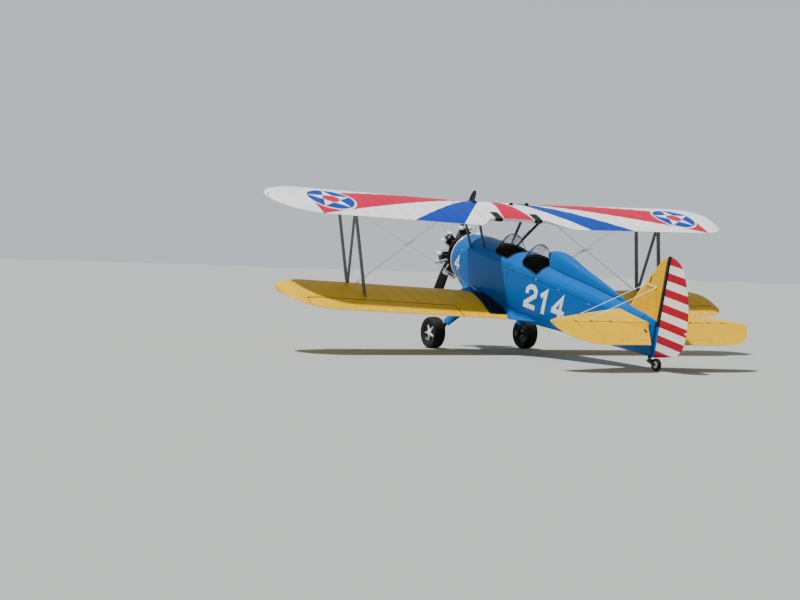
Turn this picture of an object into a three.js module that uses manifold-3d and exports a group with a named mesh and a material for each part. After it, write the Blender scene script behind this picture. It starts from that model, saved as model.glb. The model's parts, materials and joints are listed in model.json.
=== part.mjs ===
// A two-seat biplane with a seven-cylinder radial engine, standing on its wheels.
// Everything is drawn in the aircraft's own level axes, in millimetres: X to port, Y aft from the
// propeller's plane, Z up from the thrust line. A group then pitches it nose up, so that the main wheels
// and the tail wheel stand on the ground at Z = 0, under the middle of the aircraft.
import * as THREE from 'three';
import { mergeVertices } from 'three/addons/utils/BufferGeometryUtils.js';
import Module from 'manifold-3d';

const wasm = await Module();
wasm.setup();

const DEG = Math.PI / 180;
const PORT = 1;
const STARBOARD = -1;
const SIDES = [['port', PORT], ['starboard', STARBOARD]];
const FIT = 0.3; // gap between pieces that touch
const PLAY = 6; // gap between a moving piece and its neighbour

// Driving dimensions of the wings
const CHORD = 1524;
const CENTRE_HALF = 850; // half width of the centre section
const UPPER = {
  le: 1036, z: 1103, incidence: 5.1 * DEG, dihedral: 1.26 * DEG, bend: CENTRE_HALF, half: 4902, tipFrom: 4050,
};
const LOWER = { le: 1637, z: -522, incidence: 4.2 * DEG, dihedral: 2.1 * DEG, bend: 0, half: 4745, tipFrom: 3950 };
// Notch in the upper trailing edge; behind bendFrom, a share of the chord, the section is drawn in, and its rear edge
// is left blunt
const CUTOUT = { flatHalf: 540, half: 1050, depth: 390, bendFrom: 0.4, edge: 44 };
const FRONT_SPAR = 0.16; // spars, as a share of the chord
const REAR_SPAR = 0.65;
const STRUT_X = 3235; // the struts between the wings
const STRUT_TOP_X = 3350; // their heads stand further out than their feet
const CABANE_X = 715; // the heads of the centre section's struts
const CABANE_REAR = 0.56; // their rear pair's place, as a share of the chord
const AILERON = { inner: 1490, outer: 4420, hinge: 0.745 * CHORD, nose: 46 };

// Driving dimensions of the tail
const TAIL_HINGE = { y: 6494, z: 185 };
const STABILISER = { half: 1960, rootLe: 5640, tipLe: 6330, incidence: 4 * DEG, thick: 62 };
const ELEVATOR = { chord: 537, inner: 92, innerTe: 350, droop: 23.5 * DEG, nose: 27 };
const RUDDER = { y: 6652, nose: 26, endThick: 6 };
const FIN_END = 6598;

// Driving dimensions of the wheels and the propeller
const MAIN_WHEEL = { x: 1045, y: 1413, z: -1338, radius: 300, width: 244, rim: 168, bore: 28 };
const TAIL_WHEEL = { y: 6765, z: -420, radius: 105, width: 62, rim: 58, bore: 11 };
const TAIL_SWIVEL = { y: 6574, z: -362 };
const PROPELLER = { radius: 1245, turned: 0.25, shaft: 28 };

// Engine
const ENGINE = { y: 330, cylinders: 7, reach: 505, barrel: 74, fin: 94, base: 215 };
const FIREWALL = 690;

// The aircraft's nose-up angle on the ground, from the two wheels' axles and radii
const axleRun = TAIL_WHEEL.y - MAIN_WHEEL.y;
const axleRise = TAIL_WHEEL.z - MAIN_WHEEL.z;
const radiusStep = MAIN_WHEEL.radius - TAIL_WHEEL.radius;
const GROUND_ANGLE = Math.atan2(axleRise, axleRun) + Math.asin(radiusStep / Math.hypot(axleRun, axleRise));

// Finishes
const paint = (color, roughness = 0.35, metalness = 0) => new THREE.MeshStandardMaterial({ color, roughness, metalness });
const BLUE = paint(0x0a6fb8);
const WHITE = paint(0xf2f4f2);
const YELLOW = paint(0xf6c81c);
const RED = paint(0xb01c30);
const NAVY = paint(0x14213c);
const GREY = paint(0x6a716c);
const BLACK = paint(0x121314, 0.6);
const RUBBER = paint(0x0d0d0e, 0.85);
const STEEL = paint(0xb8bcc0, 0.3, 1);
const LEATHER = paint(0x3a2416, 0.7);
const GLASS = paint(0xd7e6ea, 0.1);

// Basic helpers: rings of points are lofted into closed bodies, and bodies are joined and cut as solids
function loft(rings) {
  const count = rings[0].length;
  const points = rings.flat();
  const faces = [];
  for (let r = 0; r + 1 < rings.length; r++) {
    for (let i = 0; i < count; i++) {
      const a = r * count + i;
      const b = r * count + (i + 1) % count;
      faces.push([a, b, b + count], [a, b + count, a + count]);
    }
  }
  // Each end is closed by strips between its two halves
  for (const [start, flip] of [[0, true], [(rings.length - 1) * count, false]]) {
    for (let i = 0; i < count / 2 - 1; i++) {
      const [a, b, c, d] = [i, i + 1, count - 2 - i, count - 1 - i].map((k) => start + k);
      const quad = flip ? [[a, c, b], [a, d, c]] : [[a, b, c], [a, c, d]];
      faces.push(...quad.filter((f) => new Set(f).size === 3));
    }
  }
  return toManifold(points.flat(), faces.flat());
}

function signedVolume(xyz, faces) {
  let volume = 0;
  for (let i = 0; i < faces.length; i += 3) {
    const [a, b, c] = [0, 1, 2].map((k) => new THREE.Vector3().fromArray(xyz, faces[i + k] * 3));
    volume += a.dot(b.cross(c));
  }
  return volume;
}

function toManifold(xyz, faces) {
  const geometry = new THREE.BufferGeometry();
  geometry.setAttribute('position', new THREE.Float32BufferAttribute(xyz, 3));
  geometry.setIndex(faces);
  return solid(geometry);
}

function solid(geometry) {
  const bare = new THREE.BufferGeometry();
  bare.setAttribute('position', geometry.getAttribute('position').clone());
  bare.setIndex(geometry.index ? geometry.index.clone() : null);
  const merged = mergeVertices(bare, 1e-3);
  const xyz = Array.from(merged.getAttribute('position').array);
  let faces = Array.from(merged.index.array);
  const whole = [];
  for (let i = 0; i < faces.length; i += 3) {
    const face = faces.slice(i, i + 3);
    if (new Set(face).size === 3) whole.push(...face);
  }
  faces = signedVolume(xyz, whole) < 0 ? whole.reverse() : whole;
  const mesh = new wasm.Mesh({ numProp: 3, vertProperties: new Float32Array(xyz), triVerts: new Uint32Array(faces) });
  return new wasm.Manifold(mesh);
}

function geometryOf(manifold) {
  const mesh = manifold.getMesh();
  const geometry = new THREE.BufferGeometry();
  geometry.setAttribute('position', new THREE.BufferAttribute(new Float32Array(mesh.vertProperties), 3));
  geometry.setIndex(new THREE.BufferAttribute(new Uint32Array(mesh.triVerts), 1));
  geometry.computeVertexNormals();
  return geometry;
}

const union = (first, ...rest) => rest.reduce((sum, body) => sum.add(body), first);

// Cuts one body with another, and leaves a close gap all round
const GAPS = [-FIT, FIT].flatMap((x) => [-FIT, FIT].flatMap((y) => [-FIT, FIT].map((z) => [x, y, z])));
const cutClear = (body, cutter) => GAPS.reduce((rest, move) => rest.subtract(cutter.translate(move)), body);

function box(x0, x1, y0, y1, z0, z1) {
  const geometry = new THREE.BoxGeometry(x1 - x0, y1 - y0, z1 - z0);
  geometry.translate((x0 + x1) / 2, (y0 + y1) / 2, (z0 + z1) / 2);
  return solid(geometry);
}

// A round bar between two points
function bar(from, to, radius, sides = 10, endRadius = radius) {
  const a = new THREE.Vector3(...from);
  const b = new THREE.Vector3(...to);
  const geometry = new THREE.CylinderGeometry(endRadius, radius, a.distanceTo(b), sides);
  const turn = new THREE.Quaternion().setFromUnitVectors(new THREE.Vector3(0, 1, 0), b.clone().sub(a).normalize());
  geometry.applyQuaternion(turn);
  geometry.translate(...a.add(b).multiplyScalar(0.5).toArray());
  return solid(geometry);
}

// A streamlined bar between two points, its long side lying fore and aft
function strut(from, to, chord, thick, endChord = chord, endThick = thick, sides = 12) {
  const a = new THREE.Vector3(...from);
  const b = new THREE.Vector3(...to);
  const along = b.clone().sub(a).normalize();
  const aft = new THREE.Vector3(0, 1, 0).addScaledVector(along, -along.y).normalize();
  const across = new THREE.Vector3().crossVectors(along, aft);
  const ring = (at, c, t) => Array.from({ length: sides }, (_, i) => {
    const angle = (i + 0.5) * 2 * Math.PI / sides;
    return at.clone().addScaledVector(aft, c / 2 * Math.cos(angle))
      .addScaledVector(across, t / 2 * Math.sin(angle)).toArray();
  });
  return loft([ring(a, chord, thick), ring(b, endChord, endThick)]);
}

// A ring turned about the X axis, its profile closing on itself
function wheelRing(profile, segments) {
  const points = [...profile, profile[0]].map(([radius, x]) => new THREE.Vector2(radius, x));
  const geometry = new THREE.LatheGeometry(points, segments);
  geometry.rotateZ(-Math.PI / 2);
  return solid(geometry);
}

// A body turned about the Y axis, its profile given as radius and Y from the axis and back to it
function turned(profile, segments) {
  return solid(new THREE.LatheGeometry(profile.map(([radius, y]) => new THREE.Vector2(radius, y)), segments));
}

const parts = []; // every piece: name, mesh
const level = new THREE.Group(); // the aircraft in its own axes

// Adds a named piece whose local origin is its pivot
function add(name, manifold, material, pivot = [0, 0, 0], group = level) {
  const geometry = geometryOf(manifold.translate(pivot.map((v) => -v)));
  const mesh = new THREE.Mesh(geometry, material);
  mesh.name = name;
  mesh.position.set(...pivot);
  group.add(mesh);
  parts.push(mesh);
  return mesh;
}

// Wings
const AIRFOIL = { thick: 0.13, camber: 0.02, crest: 0.4 }; // a common thick, lightly cambered section
const STATIONS = [0, 0.012, 0.05, 0.12, 0.25, 0.4, 0.55, 0.7, 0.85, 1];

function airfoil(chord, thickness = 1) {
  const upper = [];
  const under = [];
  for (const s of STATIONS) {
    const half = 5 * AIRFOIL.thick * (0.2969 * Math.sqrt(s) - 0.126 * s - 0.3516 * s ** 2
      + 0.2843 * s ** 3 - 0.1015 * s ** 4) * thickness * CHORD + 2;
    const { camber, crest } = AIRFOIL;
    const line = s < crest
      ? camber / crest ** 2 * (2 * crest * s - s * s)
      : camber / (1 - crest) ** 2 * (1 - 2 * crest + 2 * crest * s - s * s);
    const mean = line * thickness * CHORD;
    upper.push([s * chord, mean + half]);
    under.push([s * chord, mean - half]);
  }
  return [...upper, ...under.reverse()];
}

// Rounded tip: how far the leading and trailing edges have come in at a place along the span
const TIP = { middle: 0.38, steps: [0, 0.35, 0.6, 0.78, 0.9, 0.97, 1], blunt: 2.2 };

function wingRing(wing, side, x) {
  const out = Math.max(0, (x - wing.tipFrom) / (wing.half - wing.tipFrom));
  const size = Math.max(0.03, (1 - out ** TIP.blunt) ** (1 / TIP.blunt));
  const thin = Math.max(0.06, size ** 0.8);
  const front = TIP.middle * (1 - size) * CHORD;
  return airfoil(CHORD * size, thin).map(([y, z]) => [side * x, front + y, z]);
}

// Notch over the rear cockpit: how much of the chord is left at x, on a half cosine from its flat to its end
function notchShare(x) {
  const along = Math.min(1, Math.max(0, (Math.abs(x) - CUTOUT.flatHalf) / (CUTOUT.half - CUTOUT.flatHalf)));
  return 1 - CUTOUT.depth / CHORD * (1 + Math.cos(Math.PI * along)) / 2;
}

// A section of the notched part: its rear is drawn in, and the deeper the notch the blunter its edge
function notchedRing(wing, side, x) {
  const share = notchShare(x);
  const rear = CUTOUT.bendFrom * CHORD;
  const blunt = CUTOUT.edge * (1 - share) * CHORD / CUTOUT.depth;
  return wingRing(wing, side, x).map(([px, y, z], index) => {
    if (y <= rear) return [px, y, z];
    const run = (y - rear) / (CHORD - rear);
    const raised = index < STATIONS.length ? z + blunt * run ** 2 : z;
    return [px, rear + run * (share * CHORD - rear), raised];
  });
}

// From the wing's own axes to the aircraft's level axes
function wingMatrix(wing, side) {
  return new THREE.Matrix4().makeTranslation(side * wing.bend, wing.le, wing.z)
    .multiply(new THREE.Matrix4().makeRotationY(-side * wing.dihedral))
    .multiply(new THREE.Matrix4().makeRotationX(-wing.incidence))
    .multiply(new THREE.Matrix4().makeTranslation(-side * wing.bend, 0, 0));
}

const setInWing = (manifold, wing, side) => manifold.transform(wingMatrix(wing, side).elements.slice());
const wingPoint = (wing, side, x, y, z) =>
  new THREE.Vector3(side * x, y, z).applyMatrix4(wingMatrix(wing, side)).toArray();

function wingPanel(wing, side, from) {
  const tip = TIP.steps.map((s) => wing.tipFrom + s * (wing.half - wing.tipFrom));
  const inboard = wing === UPPER ? [from, CUTOUT.half] : [from];
  return loft([...inboard, ...tip].map((x) => (wing === UPPER ? notchedRing : wingRing)(wing, side, x)));
}

// Fuselage: stations down its length
// columns: y, half width, top, shoulder, bottom, squareness of the lower half
const FUSELAGE = [
  [FIREWALL, 440, 445, 0, -465, 2.0],
  [810, 454, 476, 40, -540, 2.2],
  [1040, 458, 502, 135, -615, 2.9],
  [1300, 458, 515, 200, -655, 3.6],
  [2000, 460, 530, 240, -682, 4.5],
  [2700, 458, 535, 250, -676, 4.5],
  [3400, 436, 525, 240, -634, 4.5],
  [4300, 356, 462, 210, -548, 4.2],
  [5300, 238, 392, 160, -452, 3.8],
  [6100, 132, 338, 110, -378, 3.4],
  [6600, 56, 300, 60, -330, 3.0],
];
const RING_SIDES = 28;
const FUSELAGE_SPLIT = { nose: 1290, tail: 3760 };
const WALL = 24;
const DECK_LINE = 245; // the deck lies on the cockpits' sides at this height

function fuselageSection(y) {
  const below = FUSELAGE.filter((row) => row[0] < y).length;
  const next = Math.min(FUSELAGE.length - 1, Math.max(1, below));
  const [a, b] = [FUSELAGE[next - 1], FUSELAGE[next]];
  const share = (y - a[0]) / (b[0] - a[0]);
  return a.map((v, i) => v + (b[i] - v) * share);
}

function fuselageRing(y, grow) {
  const [, half, top, shoulder, bottom, square] = fuselageSection(y);
  const power = 2 / square;
  return Array.from({ length: RING_SIDES }, (_, i) => {
    const angle = (i + 0.5) * 2 * Math.PI / RING_SIDES - Math.PI / 2;
    const [c, s] = [Math.cos(angle), Math.sin(angle)];
    if (s > 0) return [(half + grow) * c, y, shoulder + (top - shoulder + grow) * s];
    const x = (half + grow) * Math.sign(c) * Math.abs(c) ** power;
    return [x, y, shoulder - (shoulder - bottom + grow) * Math.abs(s) ** power];
  });
}

function fuselageBody(from, to, grow = 0) {
  const stations = [...FUSELAGE.map((row) => row[0]), FUSELAGE_SPLIT.nose, FUSELAGE_SPLIT.tail];
  const between = stations.filter((y) => y > from + 1 && y < to - 1).sort((a, b) => a - b);
  return loft([from, ...between, to].map((y) => fuselageRing(y, grow)));
}

const TAIL_POST = 6600;
const fuselageCutter = fuselageBody(FIREWALL, TAIL_POST + FIT, FIT);

// Cockpits, as openings in the deck
const COCKPITS = [
  { name: 'front', from: 1960, to: 2620, half: 405, seat: 2460 },
  { name: 'rear', from: 2890, to: 3620, half: 405, seat: 3430 },
];

function cockpitOpening({ from, to, half }) {
  const shape = new THREE.Shape();
  const round = 310;
  const middle = from + round + 100;
  shape.moveTo(-half, middle);
  shape.lineTo(-half, from + round);
  shape.quadraticCurveTo(-half, from, 0, from);
  shape.quadraticCurveTo(half, from, half, from + round);
  shape.lineTo(half, to - 60);
  shape.lineTo(half - 60, to);
  shape.lineTo(60 - half, to);
  shape.lineTo(-half, to - 60);
  shape.closePath();
  const geometry = new THREE.ExtrudeGeometry(shape, { depth: 700, bevelEnabled: false, curveSegments: 6 });
  geometry.translate(0, 0, 150);
  return solid(geometry);
}

function buildFuselage() {
  add('fuselage_nose', fuselageBody(FIREWALL, FUSELAGE_SPLIT.nose - FIT), BLUE);
  const hollow = fuselageBody(FUSELAGE_SPLIT.nose + WALL, FUSELAGE_SPLIT.tail - WALL, -WALL);
  const cabin = fuselageBody(FUSELAGE_SPLIT.nose, FUSELAGE_SPLIT.tail).subtract(hollow);
  const far = 3000;
  const above = box(-far, far, 0, 2 * far, DECK_LINE + FIT / 2, far);
  const below = box(-far, far, 0, 2 * far, -far, DECK_LINE - FIT / 2);
  add('cockpit_tub', cabin.intersect(below), BLUE);
  add('cockpit_deck', COCKPITS.map(cockpitOpening).reduce((deck, hole) => deck.subtract(hole), cabin.intersect(above)), BLUE);

  // The tail carries the swivel's housing, and the elevators' tube runs through it
  const housing = bar(swivelPoint(0), swivelPoint(70), 34, 12);
  const pinHole = bar(swivelPoint(-10), swivelPoint(52), 12, 12);
  const tubeHole = bar([-200, TAIL_HINGE.y, TAIL_HINGE.z], [200, TAIL_HINGE.y, TAIL_HINGE.z], 30, 12);
  const tail = fuselageBody(FUSELAGE_SPLIT.tail + FIT, TAIL_POST).add(housing).subtract(pinHole).subtract(tubeHole);
  add('fuselage_tail', tail, BLUE);
}

// A point on the tail wheel's swivel, so far above its foot, along the vertical on the ground
function swivelPoint(height) {
  return [0, TAIL_SWIVEL.y - height * Math.sin(GROUND_ANGLE), TAIL_SWIVEL.z + height * Math.cos(GROUND_ANGLE)];
}

// Headrest fairing behind the rear cockpit; its front face leans aft towards the foot
const HEADREST_FACE = { y: 3638, z: 475, lean: 0.458 };
const headrestFace = (z) => HEADREST_FACE.y - HEADREST_FACE.lean * (z - HEADREST_FACE.z);
// columns: y, half width, top, foot
const HEADREST = [
  [null, 182, 750, 380],
  [3760, 180, 760, 360],
  [4080, 156, 708, 340],
  [4420, 122, 632, 320],
  [4900, 82, 552, 300],
  [5400, 44, 458, 280],
  [5740, 14, 380, 270],
];

function buildHeadrest() {
  const sides = 16;
  const power = 0.62; // squareness of the arch
  const ring = ([y, half, top, foot]) => Array.from({ length: sides }, (_, i) => {
    const angle = Math.PI * i / (sides - 1);
    const [c, s] = [Math.cos(angle), Math.max(0, Math.sin(angle))];
    const z = foot + (top - foot) * s ** power;
    return [half * Math.sign(c) * Math.abs(c) ** power, y ?? headrestFace(z), z];
  });
  const fairing = loft(HEADREST.map(ring)).subtract(fuselageCutter);
  add('headrest_fairing', fairing, BLUE);
  const padThick = 42;
  const corners = [[-140, 560], [-140, 724], [140, 724], [140, 560]];
  const pad = [padThick, FIT].map((off) => corners.map(([x, z]) => [x, headrestFace(z) - off, z]));
  add('headrest_pad', loft(pad), LEATHER);
}

// Seats, panels and windscreens
const SEAT = { half: 205, depth: 380, pan: -120, back: 300, board: 26, panThick: 40, foot: 120 };

function buildCockpit(cockpit) {
  const { name, seat, from } = cockpit;
  const inside = fuselageBody(FUSELAGE_SPLIT.nose + WALL, FUSELAGE_SPLIT.tail - WALL, -WALL - 1);
  const pan = box(-SEAT.half, SEAT.half, seat - SEAT.depth + 60, seat + 60, SEAT.pan - SEAT.panThick, SEAT.pan);
  const back = box(-SEAT.half, SEAT.half, seat + 60 - SEAT.board, seat + 60, SEAT.pan - 20, SEAT.back);
  const wings = SIDES.map(([, side]) => {
    const [a, b] = [side * SEAT.half, side * (SEAT.half - SEAT.board)].sort((p, q) => p - q);
    return box(a, b, seat - 240, seat + 50, SEAT.pan - 20, SEAT.pan + 130);
  });
  // The foot stands on the cockpit's floor
  const foot = box(-SEAT.foot, SEAT.foot, seat - 220, seat, -900, SEAT.pan - 20);
  add(`${name}_seat`, union(pan, back, ...wings, foot).intersect(inside), LEATHER);

  const panel = box(-500, 500, from - 50, from - 30, 90, 600).intersect(inside);
  add(`${name}_panel`, panel, BLACK);

  // A curved screen whose upper edge is an arch over the opening's front; its foot is cut to the deck
  const screen = { half: 318, foot: -197, swept: 292, low: 380, arch: 95, bulge: 15, top: 755, drop: 312, thick: 5, steps: 13 };
  const arc = (upper, inset) => Array.from({ length: screen.steps }, (_, i) => {
    const share = 2 * i / (screen.steps - 1) - 1;
    const y = from + (upper ? screen.arch + screen.bulge * (1 - share ** 2) : screen.foot + screen.swept * share ** 2);
    const z = upper ? screen.top - screen.drop * Math.abs(share) ** 2.2 : screen.low;
    return [(screen.half - inset) * share, y + inset, z];
  });
  const ring = (upper) => [...arc(upper, 0), ...arc(upper, screen.thick).reverse()];
  add(`${name}_windscreen`, loft([ring(false), ring(true)]).subtract(fuselageCutter), GLASS);
}

// Engine: crankcase, cylinders with fins, rocker boxes and pushrod tubes
const aroundEngine = (body, index) => body.rotate([0, index * 360 / ENGINE.cylinders, 0]);

function cylinder() {
  const fins = 4;
  const profile = [[0, 150], [ENGINE.barrel, 150]];
  const pitch = (ENGINE.reach - 60 - ENGINE.base) / fins;
  for (let i = 0; i < fins; i++) {
    const foot = ENGINE.base + 12 + i * pitch;
    const reach = i < fins / 2 ? ENGINE.fin - 8 : ENGINE.fin + 4;
    profile.push([ENGINE.barrel, foot], [reach, foot], [reach, foot + pitch * 0.45], [ENGINE.barrel, foot + pitch * 0.45]);
  }
  profile.push([ENGINE.barrel, ENGINE.reach - 30], [40, ENGINE.reach], [0, ENGINE.reach]);
  const barrel = turned(profile, 8).rotate([90, 0, 0]).translate([0, ENGINE.y, 0]);
  const pieces = [barrel];
  for (const side of [-1, 1]) {
    const x = side * 94;
    pieces.push(box(x - 30, x + 30, ENGINE.y - 75, ENGINE.y + 75, ENGINE.reach - 50, ENGINE.reach + 30));
    pieces.push(bar([side * 40, ENGINE.y - 130, 200], [x, ENGINE.y - 66, ENGINE.reach - 10], 11, 5));
  }
  return union(...pieces);
}

function buildEngine() {
  const back = FIREWALL - FIT;
  const crankcase = turned([
    [0, 66], [64, 66], [84, 110], [120, 165], [205, 185], [228, 215], [238, 260], [238, 420],
    [205, 450], [205, back], [0, back],
  ], 21);
  const shaft = bar([0, -100, 0], [0, 80, 0], PROPELLER.shaft, 12);
  const block = Array.from({ length: ENGINE.cylinders }, (_, i) => aroundEngine(cylinder(), i));
  add('engine', union(crankcase, shaft, ...block), BLACK);

  // Exhaust ring behind the cylinders, a stub to each of them and an outlet to port
  const ring = { y: 508, radius: 392, tube: 29 };
  const profile = Array.from({ length: 7 }, (_, i) => {
    const angle = 2 * Math.PI * i / 6;
    return [ring.radius + ring.tube * Math.cos(angle), ring.y + ring.tube * Math.sin(angle)];
  });
  const stub = bar([0, ENGINE.y + ENGINE.fin + 6, ring.radius], [0, ring.y, ring.radius], 26, 6);
  const stubs = Array.from({ length: ENGINE.cylinders }, (_, i) => aroundEngine(stub, i));
  const outlet = bar([ring.radius - 10, ring.y - 40, -110], [640, ring.y - 70, -195], 21, 8);
  add('exhaust', union(turned(profile, 28), ...stubs, outlet), STEEL);
}

// Propeller: a hub round the shaft and two twisted blades
// columns: distance from the axis, width, thickness, pitch angle in degrees
const BLADE = [
  [40, 84, 80, 45],
  [130, 92, 74, 45],
  [260, 130, 52, 41],
  [480, 176, 34, 32],
  [800, 196, 24, 23],
  [1080, 170, 17, 18],
  [1200, 120, 12, 16],
  [PROPELLER.radius, 44, 8, 15],
];

function blade() {
  const sides = 12;
  return loft(BLADE.map(([reach, width, thick, pitch]) => Array.from({ length: sides }, (_, i) => {
    const angle = (i + 0.5) * 2 * Math.PI / sides;
    const [u, v] = [width / 2 * Math.cos(angle), thick / 2 * Math.sin(angle)];
    const turn = pitch * DEG;
    return [u * Math.cos(turn) - v * Math.sin(turn), u * Math.sin(turn) + v * Math.cos(turn), reach];
  })));
}

function buildPropeller() {
  const hub = turned([[0, -62], [78, -62], [84, -40], [84, 40], [70, 60], [0, 60]], 20);
  const bore = bar([0, -200, 0], [0, 200, 0], PROPELLER.shaft + 2, 16);
  const whole = union(hub, blade(), blade().rotate([0, 180, 0])).subtract(bore);
  const mesh = add('propeller', whole, BLACK);
  mesh.rotation.y = -PROPELLER.turned;
}

// Wings, ailerons and the struts between them
const upperSolids = {};
const lowerSolids = {};

function aileronBlock(side, inset, nose) {
  // The middle of the wing's thickness at the hinge
  const z = 22;
  const [x0, x1] = [AILERON.inner + inset, AILERON.outer - inset];
  const [a, b] = side > 0 ? [x0, x1] : [-x1, -x0];
  const behind = box(a, b, AILERON.hinge, CHORD + 50, -200, 300);
  const round = bar([a, AILERON.hinge, z], [b, AILERON.hinge, z], nose, 24);
  return behind.add(round);
}

function buildWings() {
  const joint = box(-CENTRE_HALF - FIT, CENTRE_HALF + FIT, 0, 4000, 0, 2000);
  for (const [word, side] of SIDES) {
    const panel = wingPanel(UPPER, side, CENTRE_HALF - 20);
    upperSolids[side] = setInWing(panel, UPPER, side).subtract(joint);
    add(`upper_wing_${word}`, upperSolids[side], WHITE);

    const whole = wingPanel(LOWER, side, 200);
    const moving = whole.intersect(aileronBlock(side, PLAY, AILERON.nose));
    const fixed = whole.subtract(aileronBlock(side, 0, AILERON.nose + 14));
    lowerSolids[side] = setInWing(fixed, LOWER, side).subtract(fuselageCutter);
    add(`lower_wing_${word}`, lowerSolids[side], YELLOW);
    const hinge = wingPoint(LOWER, side, AILERON.inner, AILERON.hinge, 22);
    add(`aileron_${word}`, setInWing(moving, LOWER, side), YELLOW, hinge);
  }
  // The centre section is straight across
  const flat = { ...UPPER, dihedral: 0 };
  const reach = CENTRE_HALF - CUTOUT.flatHalf;
  const half = [1, 0.78, 0.56, 0.34, 0].map((share) => CUTOUT.flatHalf + share * reach);
  const stations = [...half.map((x) => -x), ...half.reverse()];
  const centre = loft(stations.map((x) => notchedRing(flat, 1, x)));
  upperSolids.centre = setInWing(centre, flat, 1);
  add('upper_wing_centre', upperSolids.centre, WHITE);
}

const upperSpar = (side, x, spar) => wingPoint(UPPER, side, x, spar * CHORD, 10);
const lowerSpar = (side, x, spar) => wingPoint(LOWER, side, x, spar * CHORD, 30);

// Cuts a strut's ends to the wings, leaving a close gap
function betweenWings(body, side) {
  return [upperSolids[side], upperSolids.centre, lowerSolids[side]].reduce(cutClear, body);
}

function buildStruts() {
  for (const [word, side] of SIDES) {
    const ends = {
      upperFront: upperSpar(side, STRUT_TOP_X, FRONT_SPAR),
      upperRear: upperSpar(side, STRUT_TOP_X, REAR_SPAR),
      lowerFront: lowerSpar(side, STRUT_X, FRONT_SPAR),
      lowerRear: lowerSpar(side, STRUT_X, REAR_SPAR),
    };
    const frame = union(
      strut(ends.lowerFront, ends.upperFront, 104, 42),
      strut(ends.lowerRear, ends.upperRear, 104, 42),
      strut(ends.lowerFront, ends.upperRear, 84, 34),
    );
    add(`interplane_struts_${word}`, betweenWings(frame, side), GREY);

    // Cabane: struts that splay from the fuselage's shoulder to the centre section
    const frontFoot = [side * 425, 1335, 282];
    const rearFoot = [side * 345, 1640, 400];
    const frontTop = upperSpar(side, CABANE_X, FRONT_SPAR);
    const rearTop = upperSpar(side, CABANE_X, CABANE_REAR);
    const part = (from, to, share) => from.map((v, i) => v + (to[i] - v) * share);
    const brace = bar(part(frontFoot, frontTop, 0.12), part(rearFoot, rearTop, 0.9), 6, 8);
    const cabane = union(strut(frontFoot, frontTop, 78, 34), strut(rearFoot, rearTop, 78, 34), brace);
    add(`cabane_struts_${word}`, betweenWings(cabane, side).subtract(fuselageCutter), NAVY);
  }
}

// Bracing wires run in pairs, tied by a lug at each end
function wirePair(from, to, spread, radius) {
  const at = (point, y, share) => new THREE.Vector3(...from).lerp(new THREE.Vector3(...to), share)
    .add(new THREE.Vector3(0, y, 0)).toArray();
  const wires = [-spread, spread].map((y) => bar(at(from, y, 0.01), at(to, y, 0.99), radius, 8));
  const lugs = [[0.012, 0.03], [0.97, 0.988]].map(([a, b]) => {
    const [p, q] = [at(from, 0, a), at(from, 0, b)];
    return strut(p, q, 2 * spread + 26, 12);
  });
  return union(...wires, ...lugs);
}

function buildWires() {
  for (const [word, side] of SIDES) {
    // Lifting wires: from the lower wing's root up to the strut's head
    const root = [side * 490, 1890, -395];
    const head = upperSpar(side, STRUT_TOP_X - 90, FRONT_SPAR);
    const flying = wirePair([root[0], root[1] - 30, root[2]], [head[0], head[1] + 40, head[2] - 90], 28, 5);
    add(`flying_wires_${word}`, betweenWings(flying, side).subtract(fuselageCutter), STEEL);
    // Landing wires: from the centre section down to the strut's foot, passing aft of the lifting wires
    const crown = upperSpar(side, CABANE_X + 325, FRONT_SPAR);
    const foot = lowerSpar(side, STRUT_X - 90, FRONT_SPAR);
    const landing = wirePair([crown[0], crown[1] + 190, crown[2] - 80], [foot[0], foot[1] + 90, foot[2] + 75], 28, 5);
    add(`landing_wires_${word}`, betweenWings(landing, side), STEEL);
  }
}

// Landing gear: a faired leg with its knuckle and axle on each side
const WHEEL_SIDES = 32; // the tyre and the wheel inside it take the same number of sides
const LEG = { top: [335, 1640, -590], foot: [860, 1525, -1125], chord: 340, thick: 130, endChord: 250, endThick: 84 };

function buildGear() {
  const { x, y, z, radius, width, rim, bore } = MAIN_WHEEL;
  for (const [word, side] of SIDES) {
    const mirror = ([px, py, pz]) => [side * px, py, pz];
    const leg = strut(mirror(LEG.top), mirror(LEG.foot), LEG.chord, LEG.thick, LEG.endChord, LEG.endThick);
    const knuckle = bar([side * 835, y, z], [side * (x - width / 2 - PLAY - 4), y, z], 52, 14);
    const fork = bar(mirror(LEG.foot), [side * 862, y, z], 30, 12);
    const axle = bar([side * 850, y, z], [side * (x + 78), y, z], bore - 0.8, 16);
    const body = cutClear(union(leg, knuckle, fork, axle).subtract(fuselageCutter), lowerSolids[side]);
    add(`gear_leg_${word}`, body, BLUE);

    // Tyre and wheel share the axle's line
    const half = width / 2;
    const tyre = wheelRing([
      [rim, -62], [rim + 26, -92], [radius - 62, -half], [radius - 22, -half + 7], [radius - 4, -half + 32],
      [radius, 0],
      [radius - 4, half - 32], [radius - 22, half - 7], [radius - 62, half], [rim + 26, 92], [rim, 62],
    ], WHEEL_SIDES);
    add(`tyre_${word}`, tyre.translate([side * x, y, z]), RUBBER, [side * x, y, z]);
    const face = 66;
    const wheel = wheelRing([
      [bore, -face], [70, -face], [96, -36], [rim - 26, -40], [rim - 12, -72], [rim - FIT, -60],
      [rim - FIT, 60], [rim - 12, 72], [rim - 26, 40], [96, 36], [70, face], [bore, face],
    ], WHEEL_SIDES);
    add(`wheel_${word}`, wheel.translate([side * x, y, z]), STEEL, [side * x, y, z]);
  }
}

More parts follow.
